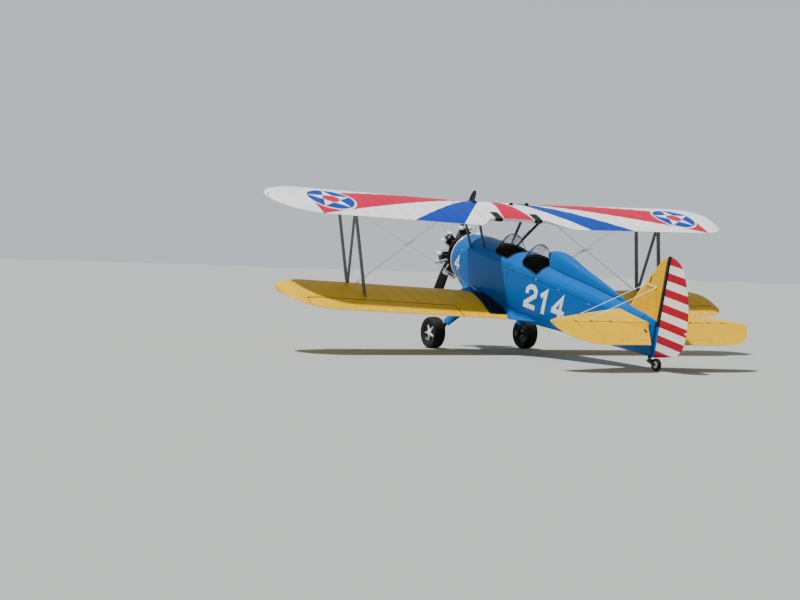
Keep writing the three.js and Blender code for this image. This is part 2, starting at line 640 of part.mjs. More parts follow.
// Tail wheel: a trailing fork that swivels under the tail post
function buildTailWheel() {
  const { y, z, radius, width, rim, bore } = TAIL_WHEEL;
  const armX = width / 2 + 14;
  const crownFrom = swivelPoint(-46);
  const crownTo = swivelPoint(-PLAY);
  const crown = bar(crownFrom, crownTo, 30, 14);
  const pin = bar(swivelPoint(-20), swivelPoint(44), 11, 12);
  const bridge = strut([-armX - 5, crownFrom[1] + 12, crownFrom[2] + 14], [armX + 5, crownFrom[1] + 12, crownFrom[2] + 14], 44, 24);
  const arm = SIDES.map(([, side]) => {
    const [a, b] = [side * (armX - 6), side * (armX + 6)].sort((p, q) => p - q);
    const shape = new THREE.Shape();
    shape.moveTo(crownFrom[1] - 14, crownFrom[2] + 4);
    shape.lineTo(crownFrom[1] + 10, crownFrom[2] + 30);
    shape.lineTo(y + 6, z + 20);
    shape.lineTo(y + 22, z);
    shape.lineTo(y + 6, z - 20);
    shape.lineTo(crownFrom[1] + 30, crownFrom[2] - 8);
    shape.closePath();
    const geometry = new THREE.ExtrudeGeometry(shape, { depth: b - a, bevelEnabled: false });
    geometry.applyMatrix4(new THREE.Matrix4().set(0, 0, 1, a, 1, 0, 0, 0, 0, 1, 0, 0, 0, 0, 0, 1));
    return solid(geometry);
  });
  const axle = bar([-armX - 12, y, z], [armX + 12, y, z], bore - 0.8, 12);
  add('tail_wheel_fork', union(crown, pin, bridge, ...arm, axle), STEEL, swivelPoint(0));

  const half = width / 2;
  const tyre = wheelRing([
    [rim, -half + 8], [radius - 22, -half], [radius - 5, -half + 12], [radius, 0],
    [radius - 5, half - 12], [radius - 22, half], [rim, half - 8],
  ], 24);
  add('tail_tyre', tyre.translate([0, y, z]), RUBBER, [0, y, z]);
  const hub = wheelRing([[bore, -half], [30, -half], [rim - FIT, -half + 10], [rim - FIT, half - 10], [30, half], [bore, half]], 24);
  add('tail_wheel', hub.translate([0, y, z]), STEEL, [0, y, z]);
}

// Tail surfaces: ribs are a rounded nose and straight sides
function tailRib(front, back, halfFront, halfBack) {
  const chord = back - front;
  const upper = [[0, 0.25], [0.05, 0.62], [0.2, 0.92], [0.45, 1]].map(([s, t]) => [front + s * chord, t * halfFront]);
  upper.push([back, halfBack]);
  return [...upper, ...upper.map(([y, t]) => [y, -t]).reverse()];
}

function movingRib(hinge, back, nose, endHalf) {
  const arc = Array.from({ length: 5 }, (_, i) => {
    const angle = Math.PI - i * Math.PI / 8;
    return [hinge + nose * Math.cos(angle), Math.max(0.4, nose * Math.sin(angle))];
  });
  arc.push([Math.max(back, hinge + nose * 1.2), endHalf]);
  return [...arc, ...arc.map(([y, t]) => [y, -t]).reverse()];
}

const STABILISER_END = TAIL_HINGE.y - ELEVATOR.nose - 12;

function buildStabiliser() {
  const s = STABILISER;
  const tiltBack = new THREE.Matrix4().makeTranslation(0, TAIL_HINGE.y, TAIL_HINGE.z)
    .multiply(new THREE.Matrix4().makeRotationX(-s.incidence))
    .multiply(new THREE.Matrix4().makeTranslation(0, -TAIL_HINGE.y, -TAIL_HINGE.z));
  // columns: share of the half span, leading edge's share of the way to the tip's, half thickness
  const ribs = [[0, 0, 1], [0.5, 0.5, 1], [0.82, 0.83, 0.85], [0.93, 0.95, 0.6], [0.985, 1.06, 0.4], [1, 1.16, 0.3]];
  for (const [word, side] of SIDES) {
    const rings = ribs.map(([span, sweep, thick]) => {
      const x = span * s.half;
      const front = s.rootLe + sweep * (s.tipLe - s.rootLe);
      const end = Math.max(front + 30, STABILISER_END);
      return tailRib(front, end, s.thick / 2 * thick, s.thick / 2 * thick * 0.9)
        .map(([y, t]) => [side * x, y, TAIL_HINGE.z + t]);
    });
    const body = loft(rings).transform(tiltBack.elements.slice());
    const tubeHole = bar([-400, TAIL_HINGE.y, TAIL_HINGE.z], [400, TAIL_HINGE.y, TAIL_HINGE.z], 33, 12);
    add(`stabiliser_${word}`, body.subtract(fuselageCutter).subtract(tubeHole), YELLOW);
  }
}

function buildElevators() {
  const e = ELEVATOR;
  const pivot = [0, TAIL_HINGE.y, TAIL_HINGE.z];
  const span = STABILISER.half;
  // columns: share of the half span, share of the full chord
  const ribs = [[0.25, 1], [0.6, 1], [0.72, 0.95], [0.83, 0.8], [0.91, 0.6], [0.96, 0.4], [0.99, 0.2], [1, 0.09]];
  const group = new THREE.Group();
  group.position.set(...pivot);
  group.rotation.x = -e.droop;
  level.add(group);
  for (const [word, side] of SIDES) {
    const root = [[e.inner, 0.02], [e.inner + (e.innerTe - e.inner) * 0.5, 0.5], [e.innerTe, 1]];
    const rings = [...root, ...ribs.map(([share, chord]) => [share * span, chord])].map(([x, chord]) => {
      const nose = x > 0.95 * span ? e.nose * 0.6 : e.nose;
      return movingRib(0, chord * e.chord, nose, 3).map(([y, t]) => [side * x, y, t]);
    });
    add(`elevator_${word}`, loft(rings), YELLOW, [0, 0, 0], group);
  }
  const tube = bar([-e.inner + FIT, 0, 0], [e.inner - FIT, 0, 0], 21, 16);
  add('elevator_tube', tube, STEEL, [0, 0, 0], group);
}

// Fin and rudder
// columns: z, leading edge
const FIN = [[250, 5790], [409, 5874], [607, 5992], [961, 6258], [1172, 6428], [1280, 6512], [1325, 6560], [1338, 6580]];
// columns: z, trailing edge
const RUDDER_EDGE = [
  [-322, 6690], [-267, 6879], [-182, 7156], [-140, 7232], [-40, 7318], [50, 7358], [171, 7368], [315, 7364],
  [498, 7340], [690, 7298], [850, 7241], [1003, 7158], [1129, 7081], [1238, 6993], [1298, 6911],
  [1333, 6810], [1353, 6692],
];

function buildFin() {
  const rings = FIN.map(([z, front]) => {
    const thick = z > 1300 ? 14 : 27;
    return tailRib(front, FIN_END, thick, Math.min(thick, 25)).map(([y, t]) => [t, y, z]);
  });
  add('fin', loft(rings).subtract(fuselageCutter), YELLOW);
  const rudder = loft(RUDDER_EDGE.map(([z, back]) => movingRib(RUDDER.y, back, RUDDER.nose, RUDDER.endThick / 2)
    .map(([y, t]) => [t, y, z])));
  add('rudder', rudder, RED, [0, RUDDER.y, 0]);
}

// Tail bracing: wires above from the fin, struts below from the tail's underside
function buildTailBracing() {
  for (const [word, side] of SIDES) {
    const finPoint = (y, z) => [side * 36, y, z];
    const tip = (y) => [side * 1180, y, 262 - (y - 6000) * Math.tan(STABILISER.incidence)];
    const front = bar(finPoint(6215, 800), tip(6120), 5, 8);
    const rear = bar(finPoint(6480, 800), tip(6380), 5, 8);
    const tieTop = bar(finPoint(6205, 800), finPoint(6490, 800), 7, 8);
    add(`tail_wires_${word}`, union(front, rear, tieTop), STEEL);
    const keel = [side * 95, 6080, -250];
    const brace = strut(keel, [side * 1100, 6200, 160], 52, 22);
    add(`tail_strut_${word}`, brace.subtract(fuselageCutter), GREY);
  }
}

buildFuselage();
buildHeadrest();
COCKPITS.forEach(buildCockpit);
buildEngine();
buildPropeller();
buildWings();
buildStruts();
buildWires();
buildGear();
buildTailWheel();
buildStabiliser();
buildElevators();
buildFin();
buildTailBracing();

// Pitch the aircraft nose up and stand it on the ground, over the middle of its outline
level.rotation.x = -GROUND_ANGLE;
const aircraft = new THREE.Group();
aircraft.add(level);
aircraft.updateMatrixWorld(true);
const outline = new THREE.Box3().setFromObject(aircraft, true);
const middle = outline.getCenter(new THREE.Vector3());
aircraft.position.set(-middle.x, -middle.y, -outline.min.z);
aircraft.updateMatrixWorld(true);

export default aircraft;
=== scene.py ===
import json
from math import atan, copysign, cos, hypot, pi, radians, sin, sqrt, tan
import bpy
import bmesh
from mathutils import Matrix, Vector
from mathutils.geometry import intersect_line_line


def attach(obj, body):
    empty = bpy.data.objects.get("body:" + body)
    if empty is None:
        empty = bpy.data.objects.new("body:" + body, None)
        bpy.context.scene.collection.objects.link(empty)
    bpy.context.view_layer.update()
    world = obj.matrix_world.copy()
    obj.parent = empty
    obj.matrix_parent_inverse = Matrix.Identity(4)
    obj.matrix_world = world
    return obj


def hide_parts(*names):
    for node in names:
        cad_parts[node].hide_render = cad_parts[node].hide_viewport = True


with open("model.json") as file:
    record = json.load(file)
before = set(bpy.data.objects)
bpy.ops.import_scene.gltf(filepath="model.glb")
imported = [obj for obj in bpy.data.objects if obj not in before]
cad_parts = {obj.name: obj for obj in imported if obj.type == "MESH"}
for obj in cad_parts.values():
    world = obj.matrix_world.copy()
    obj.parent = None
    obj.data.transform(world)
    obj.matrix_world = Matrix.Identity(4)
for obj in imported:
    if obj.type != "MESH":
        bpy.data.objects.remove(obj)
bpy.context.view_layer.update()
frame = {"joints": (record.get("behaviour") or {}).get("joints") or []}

# Camera: stands behind the aircraft on its port side at about eye height, with a long lens and a
# horizon that leans by two degrees, as solved from the wing tips, strut feet, wheels and tail.
CAMERA_PLACE = (15.778, 22.861, 1.666)
CAMERA_HEADING, CAMERA_TILT, CAMERA_LEAN = radians(151.022), radians(-1.521), radians(2.116)
CAMERA_FOCAL, SENSOR_WIDTH = 69.47, 36  # mm


def put(name, data):
    """Makes an object of a mesh, a lamp or a camera and puts it in the scene."""
    made = bpy.data.objects.new(name, data)
    bpy.context.scene.collection.objects.link(made)
    return made


forward = Vector((-sin(CAMERA_HEADING) * cos(CAMERA_TILT),
                  cos(CAMERA_HEADING) * cos(CAMERA_TILT), sin(CAMERA_TILT)))
right = forward.cross(Vector((0, 0, 1))).normalized()
upright = right.cross(forward)
across = right * cos(CAMERA_LEAN) + upright * sin(CAMERA_LEAN)
up = upright * cos(CAMERA_LEAN) - right * sin(CAMERA_LEAN)
camera = put("camera", bpy.data.cameras.new("camera"))
camera.data.sensor_width = SENSOR_WIDTH
camera.data.lens = CAMERA_FOCAL
camera.data.clip_end = 500
camera.matrix_world = Matrix.Translation(CAMERA_PLACE) @ Matrix((across, up, -forward)).transposed().to_4x4()
bpy.context.scene.camera = camera


# Floor and light: a plain floor, a pale backdrop that is brightest low down, and one high sun a little
# to port, as the shadows on the ground show. The sky fills the shaded sides.
def colour(code):
    """Turns an sRGB hex colour such as '#0a6fb8' into linear values."""
    channels = [int(code[i:i + 2], 16) / 255 for i in (1, 3, 5)]
    return [c / 12.92 if c <= 0.04045 else ((c + 0.055) / 1.055) ** 2.4 for c in channels] + [1.0]


def node(tree, kind, inputs=None, out=0, **settings):
    """Adds a node with its settings, gives each input a value or joins it to an output, and returns
    the output that out names or counts."""
    made = tree.nodes.new("ShaderNode" + kind)
    for name, value in settings.items():
        setattr(made, name, value)
    for name, value in (inputs or {}).items():
        if isinstance(value, bpy.types.NodeSocket):
            tree.links.new(value, made.inputs[name])
        else:
            made.inputs[name].default_value = value
    return made.outputs[out]


def finish(name, **values):
    """Starts a material: gives it, its node tree, its shader and the place on the object in metres."""
    material = bpy.data.materials.new(name)
    material.use_nodes = True
    tree = material.node_tree
    shader = tree.nodes["Principled BSDF"]
    for key, value in values.items():
        shader.inputs[key.replace("_", " ")].default_value = value
    return material, tree, shader, node(tree, "TexCoord", out="Object")


FLOOR_HALF = 160.0
SUN_FROM, SUN_STRENGTH, SUN_WIDTH = Vector((0.34, -0.06, 1.0)), 5.2, radians(3)
GLOW = {1: 0.12, 2: 0.35, 3: 0.85, 4: 0.42}  # the backdrop's low and high edge, and its strength there
painted_floor = finish("painted floor", Roughness=0.9, Base_Color=colour("#a9ada8"))[0]  # even and dull
floor_mesh = bpy.data.meshes.new("floor")
corners = [(x * FLOOR_HALF, y * FLOOR_HALF, 0) for x, y in ((-1, -1), (1, -1), (1, 1), (-1, 1))]
floor_mesh.from_pydata(corners, [], [(0, 1, 2, 3)])
floor_mesh.materials.append(painted_floor)
put("floor", floor_mesh)

sun = put("sun", bpy.data.lights.new("sun", "SUN"))
sun.rotation_euler = SUN_FROM.to_track_quat("Z", "Y").to_euler()
sun.data.energy = SUN_STRENGTH
sun.data.angle = SUN_WIDTH
world = bpy.data.worlds.new("backdrop")
bpy.context.scene.world = world
world.use_nodes = True
sky = node(world.node_tree, "TexCoord", out="Generated")
height = node(world.node_tree, "SeparateXYZ", {0: sky}, out="Z")
glow = node(world.node_tree, "MapRange", {0: height, **GLOW}, interpolation_type="SMOOTHSTEP")
background = world.node_tree.nodes["Background"]
background.inputs["Color"].default_value = colour("#dfe6ee")
world.node_tree.links.new(glow, background.inputs["Strength"])


# Nose: a sheet aluminium cowl round the firewall, rolled to a bright lip at its front edge, with
# its panels held by rows of quarter-turn fasteners. Blue enamel, polished, so it mirrors the sky.
spin = next(j for j in frame["joints"] if j["name"] == "propeller_spin")
THRUST_POINT = Vector(spin["pos_m"])  # where the thrust line meets the propeller's plane
AFT = Vector(spin["axis"]).normalized()
ABOVE = Vector((1, 0, 0)).cross(AFT)
START_Y, START_Z = AFT.dot(THRUST_POINT), ABOVE.dot(THRUST_POINT)  # level zero, along AFT and ABOVE
SIDES = (("port", 1), ("starboard", -1))
FUSELAGE = (  # y, half width, top, shoulder, bottom, squareness of the lower half, all in mm
    (690, 440, 445, 0, -465, 2.0), (810, 454, 476, 40, -540, 2.2), (1040, 458, 502, 135, -615, 2.9),
    (1300, 458, 515, 200, -655, 3.6), (2000, 460, 530, 240, -682, 4.5), (2700, 458, 535, 250, -676, 4.5),
    (3400, 436, 525, 240, -634, 4.5), (4300, 356, 462, 210, -548, 4.2), (5300, 238, 392, 160, -452, 3.8),
    (6100, 132, 338, 110, -378, 3.4), (6600, 56, 300, 60, -330, 3.0))
SECTION_SIDES = 120
COWL = (690, 694, 700, 710, 740, 780, 820, 870, 920, 980, 1040, 1100, 1160, 1230, 1289.7)


def level(x, y, z):
    """A point in the aircraft's level axes in mm, as a place in the part's frame in metres."""
    return THRUST_POINT + (Vector((1, 0, 0)) * x + AFT * y + ABOVE * z) / 1000


def row_at(table, y):
    """The table's row at y, on a smooth curve through its rows."""
    i = min(len(table) - 2, max(0, sum(r[0] < y for r in table) - 1))
    before, a, b, after = (table[min(len(table) - 1, max(0, i + k))] for k in (-1, 0, 1, 2))
    step = b[0] - a[0]
    t = min(1.0, max(0.0, (y - a[0]) / step))
    rises = step / max(b[0] - before[0], 1), step / max(after[0] - a[0], 1)
    weights = 2 * t ** 3 - 3 * t ** 2 + 1, t ** 3 - 2 * t ** 2 + t, 3 * t ** 2 - 2 * t ** 3, t ** 3 - t ** 2
    row = []
    for p, q, r, s in zip(before, a, b, after):
        start = weights[0] * q + weights[1] * (r - p) * rises[0]
        row.append(start + weights[2] * r + weights[3] * (s - q) * rises[1])
    return [y] + row[1:]


def section_point(y, angle, grow=0.0):
    """A point of the fuselage's outside at y; the angle runs from the keel up the port side."""
    _, half, top, shoulder, bottom, square = row_at(FUSELAGE, y)
    c, s = sin(angle), -cos(angle)
    if s > 0:
        return (half + grow) * c, y, shoulder + (top - shoulder + grow) * s
    power = 2 / square
    drop = (shoulder - bottom + grow) * abs(s) ** power
    return (half + grow) * copysign(abs(c) ** power, c), y, shoulder - drop


def section_ring(y, grow=0.0):
    return [section_point(y, 2 * pi * i / SECTION_SIDES, grow) for i in range(SECTION_SIDES)]


def loft(rings, closed=True, capped=True):
    """Joins rings of points into faces; closed means that each ring meets its own start."""
    count = len(rings[0])
    faces = []
    for r in range(len(rings) - 1):
        for i in range(count if closed else count - 1):
            a, b = r * count + i, r * count + (i + 1) % count
            faces.append((a, b, b + count, a + count))
    if capped:
        faces += [tuple(reversed(range(count))), tuple(range((len(rings) - 1) * count, len(rings) * count))]
    return [p for ring in rings for p in ring], faces


def merge(*parts):
    """Puts several bodies into one list of points and faces."""
    points, faces = [], []
    for p, f in parts:
        faces += [tuple(i + len(points) for i in face) for face in f]
        points += list(p)
    return points, faces


def clean(mesh, closer_than):
    """Joins a mesh's points that lie together and turns its faces outwards."""
    build = bmesh.new()
    build.from_mesh(mesh)
    bmesh.ops.remove_doubles(build, verts=build.verts, dist=closer_than)
    bmesh.ops.recalc_face_normals(build, faces=build.faces)
    build.to_mesh(mesh)
    build.free()


def tie(mesh, name, materials, replaces, body, sharp):
    """Makes a piece of a mesh and ties it to its body and the solids it stands for."""
    mesh.name = name
    mesh.shade_smooth()
    mesh.set_sharp_from_angle(angle=radians(sharp))
    for one in materials:
        mesh.materials.append(one)
    made = put(name, mesh)
    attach(made, body)
    if replaces:
        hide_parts(*replaces)
    return made


def piece(name, shape, material, replaces=(), body="airframe", sharp=35, place=level):
    """Makes a piece from points in mm and faces."""
    points, faces = shape
    mesh = bpy.data.meshes.new(name)
    mesh.from_pydata([place(*p) for p in points], [], faces)
    clean(mesh, 1e-6)
    return tie(mesh, name, [material], replaces, body, sharp)


def steps(start, end, count):
    return [start + (end - start) * i / (count - 1) for i in range(count)]


def turn(count):
    """Angles spaced evenly once round."""
    return steps(0, 2 * pi * (1 - 1 / count), count)


def turned_body(profile, at, out, sides=24):
    """A body turned about a line through at along out; the profile is (distance along, radius)."""
    out = Vector(out).normalized()
    side = out.orthogonal().normalized()
    other = out.cross(side)
    return loft([[tuple(Vector(at) + out * d + (side * cos(a) + other * sin(a)) * max(r, 0.1))
                  for a in turn(sides)] for d, r in profile])


def dome(at, out, radius, rise, sides=10):
    """A low round head such as a rivet's or a fastener's, standing on a surface."""
    profile = [(-0.5 * rise, radius), (0.35 * rise, radius), (0.85 * rise, 0.7 * radius),
               (rise, 0.05 * radius)]
    return turned_body(profile, at, out, sides)


def skin_frame(y, angle):
    """A point on the fuselage's skin and its outward direction there, in level mm."""
    here = Vector(section_point(y, angle))
    along = Vector(section_point(y + 5, angle)) - here
    round_it = Vector(section_point(y, angle + 0.02)) - here
    out = along.cross(round_it).normalized()
    return here, out if out.dot(here - Vector((0, y, 0))) > 0 else -out


# Enamel on sheet aluminium: sprayed, flatted and polished, so it is smooth and mirrors what is
# round it. The seams between the panels are dark grooves 3 mm wide, drawn 6 mm wide to show.
SEAMS = (850, 1060, 1290)
SEAM_HALF, LAP_SHADE_HALF = 0.003, 0.004
DECK_LAP = (2.745, (3.46, 0.245), (5.46, 0.168))  # where it begins, then two places along it and its heights
BLUE_PAINT = "#005fae"


def surface(tree, shader, tone, relief, strength, depth):
    """Joins a colour to a shader, and the pattern that its surface rises and falls by, depth in metres."""
    tree.links.new(tone, shader.inputs["Base Color"])
    if strength:
        bump = node(tree, "Bump", {"Height": relief, "Strength": strength, "Distance": depth})
        tree.links.new(bump, shader.inputs["Normal"])


def enamel(name, seams, dirt):
    """Gloss blue with a clear top, grooves at the given places along the fuselage, and the deck's lap as a
    dark line, partly the joint and partly painted shade under its edge.
    """
    material, tree, shader, place = finish(name, Roughness=0.28, Coat_Weight=0.07, Coat_Roughness=0.08,
                                           Specular_IOR_Level=0.12)
    drift = node(tree, "TexNoise", {"Vector": place, "Scale": 2.2, "Detail": 3.0})
    dull, bright = ([min(1, c * share) for c in colour(BLUE_PAINT)[:3]] + [1] for share in (0.9, 1.1))
    base = node(tree, "Mix", {"Factor": drift, "A": dull, "B": bright}, "Result", data_type="RGBA")
    y, z = (node(tree, "VectorMath", {0: place, 1: way}, "Value", operation="DOT_PRODUCT")
            for way in (AFT, ABOVE))
    # The deck's lap is drawn as a dark line: partly the joint, partly painted shade under the lapping edge.
    begin, (start, high), (end, low) = DECK_LAP
    lap = node(tree, "MapRange", {0: y, 1: START_Y + start, 2: START_Y + end,
                                  3: START_Z + high, 4: START_Z + low})
    drawn = [(y, START_Y + seam / 1000, SEAM_HALF) for seam in seams] + [(z, lap, LAP_SHADE_HALF)]
    for along, middle, half in drawn:
        away = node(tree, "Math", {0: along, 1: middle}, operation="SUBTRACT")
        near = node(tree, "Math", {0: away}, operation="ABSOLUTE")
        groove = node(tree, "Math", {0: near, 1: half}, operation="LESS_THAN")
        if middle is lap:
            aft_of = node(tree, "Math", {0: y, 1: START_Y + begin}, operation="GREATER_THAN")
            groove = node(tree, "Math", {0: groove, 1: aft_of}, operation="MULTIPLY")
        base = node(tree, "Mix", {"Factor": groove, "A": base, "B": colour("#04213d")}, "Result",
                    data_type="RGBA")
    grime = node(tree, "TexNoise", {"Vector": place, "Scale": 9.0, "Detail": 6.0, "Roughness": 0.7})
    amount = node(tree, "MapRange", {0: grime, 1: 0.5, 2: 0.8, 3: 0.0, 4: dirt})
    base = node(tree, "Mix", {"Factor": amount, "A": base, "B": colour("#2b2a26")}, "Result",
                data_type="RGBA")
    waves = node(tree, "TexNoise", {"Vector": place, "Scale": 6.0, "Detail": 1.0})
    surface(tree, shader, base, waves, 0.05, 0.01)
    return material


blue_enamel = enamel("blue enamel on aluminium", (*SEAMS, 2740), 0.15)
piece("cowl", loft([section_ring(y) for y in COWL]), blue_enamel, ["fuselage_nose"])


def mottled(name, dark, light, patches, strength=0.0, depth=0.0, grain=None, **values):
    """A material of two tones in patches; its relief follows them, or a pebbled grain where one is given."""
    material, tree, shader, place = finish(name, **values)
    relief = node(tree, "TexNoise", {"Vector": place, **patches})
    tone = node(tree, "Mix", {"Factor": relief, "A": colour(dark), "B": colour(light)}, "Result",
                data_type="RGBA")
    if grain:
        relief = node(tree, "TexVoronoi", {"Vector": place, "Scale": grain})
    surface(tree, shader, tone, relief, strength, depth)
    return material


def worn(name, dark, light, rough, metal=0.0, scale=20.0):
    """Worn paint, bare metal or moulded rubber: two tones mixed by grime, with a faintly uneven surface."""
    return mottled(name, dark, light, {"Scale": scale, "Detail": 6.0, "Roughness": 0.65}, 0.15, 0.002,
                   Roughness=rough, Metallic=metal, Specular_IOR_Level=0.4)


# The lip is rolled aluminium left bare; its near-white colour is a painted reflection that gives its
# bright ring. The fasteners are plated steel, which shows as small hard glints.
LIP_TUBE = 15.0
lip_painted_sheen = worn("rolled aluminium lip", "#e6e8e8", "#ffffff", 0.25, metal=0.35, scale=12.0)
lip = []
for i in range(SECTION_SIDES):
    here, _ = skin_frame(692, 2 * pi * i / SECTION_SIDES)
    out = Vector((here.x, 0, here.z)).normalized()
    lip.append([tuple(here + out * LIP_TUBE * cos(a) - Vector((0, LIP_TUBE * sin(a), 0))) for a in turn(12)])
piece("cowl_lip", loft(lip + lip[:1], capped=False), lip_painted_sheen)

FASTENER = (9.0, 2.5)  # radius and rise of a quarter-turn fastener's head
FASTENERS, BESIDE = 26, 22  # how many go round each seam, and how far behind it they stand
fastener_steel = worn("plated fastener steel", "#a3a6aa", "#d4d7da", 0.35, metal=0.9)
heads = [dome(*skin_frame(seam + BESIDE, 2 * pi * (i + 0.5) / FASTENERS), *FASTENER)
         for seam in SEAMS[:2] for i in range(FASTENERS)]
piece("cowl_fasteners", merge(*heads), fastener_steel)


# Hull round the cockpits: sheet aluminium over a steel tube frame, open above in two places. Its
# inside is sprayed with a matt green primer. The hull is a shell cut from two lofts.
CABIN = (1290.0, 3760.0)  # where the cowl ends and the fabric-covered tail begins
WALL = 22.0
COCKPITS = (("front", 1960, 2620, 2460), ("rear", 2890, 3620, 3430))  # opening from, to and the seat's place
OPENING_HALF, OPENING_ROUND, OPENING_CORNER = 405, 310, 60
OPENING_TOOL = (150, 850)  # the heights that the cutter reaches between
CHORD = 1524  # the wings' chord, which the maps on the pieces count in


def cockpit_outline(start, end):
    """An opening in the deck, round in front and nearly square aft, as points of (x, y)."""
    half, corner, knee = OPENING_HALF, OPENING_CORNER, start + OPENING_ROUND
    edge = [(half * (1 - (1 - t) ** 2), knee * t * t + 2 * start * t * (1 - t) + start * (1 - t) ** 2)
            for t in steps(0, 1, 14)]
    edge += [(half - corner + corner * cos(t), end - corner + corner * sin(t)) for t in steps(0, pi / 2, 8)]
    return edge + [(-x, y) for x, y in reversed(edge[1:])]


def carved(mesh, cutter):
    """Cuts one closed mesh with another and returns the result as a new mesh."""
    body, tool = put("carving", mesh), put("tool", cutter)
    cut = body.modifiers.new("cut", "BOOLEAN")
    cut.operation = "DIFFERENCE"
    cut.solver = "EXACT"
    cut.material_mode = "INDEX"
    cut.object = tool
    bpy.context.view_layer.update()
    result = bpy.data.meshes.new_from_object(body.evaluated_get(bpy.context.evaluated_depsgraph_get()))
    for one in (body, tool):
        bpy.data.objects.remove(one)
    return result


def mapped(shape, look=0):
    """A closed mesh in its own axes in mm that keeps its span in m and its share of the chord as a map."""
    mesh = bpy.data.meshes.new("shape")
    mesh.from_pydata(shape[0], [], shape[1])
    clean(mesh, 0.01)
    panel = mesh.uv_layers.new(name="panel").data
    for face in mesh.polygons:
        face.material_index = look
    for loop in mesh.loops:
        x, y, _ = mesh.vertices[loop.vertex_index].co
        panel[loop.index].uv = (x / 1000, y / CHORD)
    return mesh


def mesh_piece(name, mesh, materials, replaces=(), body="airframe", place=level):
    """Like piece, for a mesh that already is one; its faces keep their choice of the materials."""
    for vertex in mesh.vertices:
        vertex.co = place(*vertex.co)
    looks = [face.material_index for face in mesh.polygons]
    mesh.materials.clear()
    made = tie(mesh, name, materials, replaces, body, 35)
    for face, look in zip(mesh.polygons, looks):
        face.material_index = look
    return made


def block(outline, near, far, axis):
    """A closed block: an outline in two of the axes, drawn out along the third from near to far."""
    return loft([[(*point[:axis], end, *point[axis:]) for point in outline] for end in (near, far)])


# Zinc-rich primer, sprayed thin: dull and a little patchy
primer = mottled("matt green primer on aluminium", "#4d5a35", "#6d7a4c", {"Scale": 14.0, "Detail": 5.0},
                 Roughness=0.75)
outer = mapped(loft([section_ring(y) for y in steps(CABIN[0] + 0.3, CABIN[1], 58)]))
inner = mapped(loft([section_ring(y, -WALL) for y in steps(CABIN[0] + WALL, CABIN[1] - WALL, 40)]), look=1)
shell = carved(outer, inner)
for _, start, end, _ in COCKPITS:
    shell = carved(shell, mapped(block(cockpit_outline(start, end), *OPENING_TOOL, 2), look=1))
mesh_piece("cockpit_hull", shell, [blue_enamel, primer], ["cockpit_tub", "cockpit_deck"])

# Tail length: polyester fabric shrunk over wooden stringers, which show as faint ridges, and a plain
# metal end. Sprayed with gloss dope, so it has the cowl's colour and a slightly softer shine.
TAIL_POST = 6600.0
STRINGERS, STRINGER_RISE = 20, 3.5
RIDGES_FROM, RIDGES_TO = 200, 300  # how long the ridges take to rise and to fade out
PLAIN_END = 6050
blue_fabric = enamel("blue dope on fabric", (3760, 5980), 0.12)


def stringer_ring(y):
    fade = min(1, (y - CABIN[1]) / RIDGES_FROM) * min(1, max(0, PLAIN_END - y) / RIDGES_TO)
    angles = [2 * pi * i / SECTION_SIDES for i in range(SECTION_SIDES)]
    return [section_point(y, a, -STRINGER_RISE * fade * abs(sin(STRINGERS * a / 2))) for a in angles]


tail_rings = [stringer_ring(y) for y in steps(CABIN[1] + 0.6, TAIL_POST, 60) + [TAIL_POST + 16]]
piece("tail_length", loft(tail_rings), blue_fabric, ["fuselage_tail"])


# Side number: three plain white block figures on each side and one on the cowl, sprayed through a
# stencil with cut corners. Each is a stroke of one width that follows the skin.
STROKES = {  # each figure's middle line, in shares of its width and height
    "1": [[(0.16, 0.80), (0.52, 1.0), (0.52, 0.0)]],
    "2": [[(0.0, 0.74), (0.0, 0.84), (0.26, 1.0), (0.74, 1.0), (1.0, 0.84), (1.0, 0.62), (0.0, 0.12),
           (0.0, 0.0), (1.0, 0.0)]],
    "4": [[(0.72, 0.0), (0.72, 1.0), (0.0, 0.34), (0.0, 0.27), (1.0, 0.27)]]}
STROKE_STEP = 20.0
PAINT_RISE = 1.4
SIDE_FIGURES = dict(text="214", start=3350, foot=-318, high=446, wide=332, thick=88, gap=60, slant=0.12)
COWL_FIGURE = dict(text="4", start=850, foot=-200, high=290, wide=190, thick=46, gap=0, slant=0.1)
# White gloss enamel, weathered: nearly even, with a soft shine
white_figure = mottled("white enamel figure", "#e9eef2", "#ffffff", {"Scale": 8.0, "Detail": 4.0},
                       Roughness=0.35, Specular_IOR_Level=0.3)


def stroke(path, wide):
    """A band of even width along a flat path of points, mitred at its corners, cut short enough to bend."""
    points = [Vector(p) for p in path]
    ways = [(b - a).normalized() for a, b in zip(points, points[1:])]
    left, right = [], []
    for i, p in enumerate(points):
        before, after = ways[max(0, i - 1)], ways[min(i, len(ways) - 1)]
        way = (before + after).normalized()
        out = Vector((-way.y, way.x)) * wide / 2 / max(0.5, way.dot(before))
        if i in (0, len(ways)):
            p = p + way * wide / 2 * (1 if i else -1)
        left.append(p + out)
        right.append(p - out)
    rows = []
    for i, way in enumerate(ways):
        count = max(1, int((points[i + 1] - points[i]).length / STROKE_STEP))
        for k in range(count + (i == len(ways) - 1)):
            a, b = left[i].lerp(left[i + 1], k / count), right[i].lerp(right[i + 1], k / count)
            rows.append([tuple(a.lerp(b, s)) for s in steps(0, 1, 5)])
    return loft(rows, closed=False, capped=False)


def side_x(y, z, grow=0.0):
    """Half the fuselage's width at y and z."""
    _, half, top, shoulder, bottom, square = row_at(FUSELAGE, y)
    if z > shoulder:
        return (half + grow) * sqrt(max(0.0, 1 - ((z - shoulder) / (top - shoulder + grow)) ** 2))
    share = min(1.0, (shoulder - z) / (shoulder - bottom + grow)) ** (square / 2)
    return (half + grow) * sqrt(1 - share ** 2) ** (2 / square)


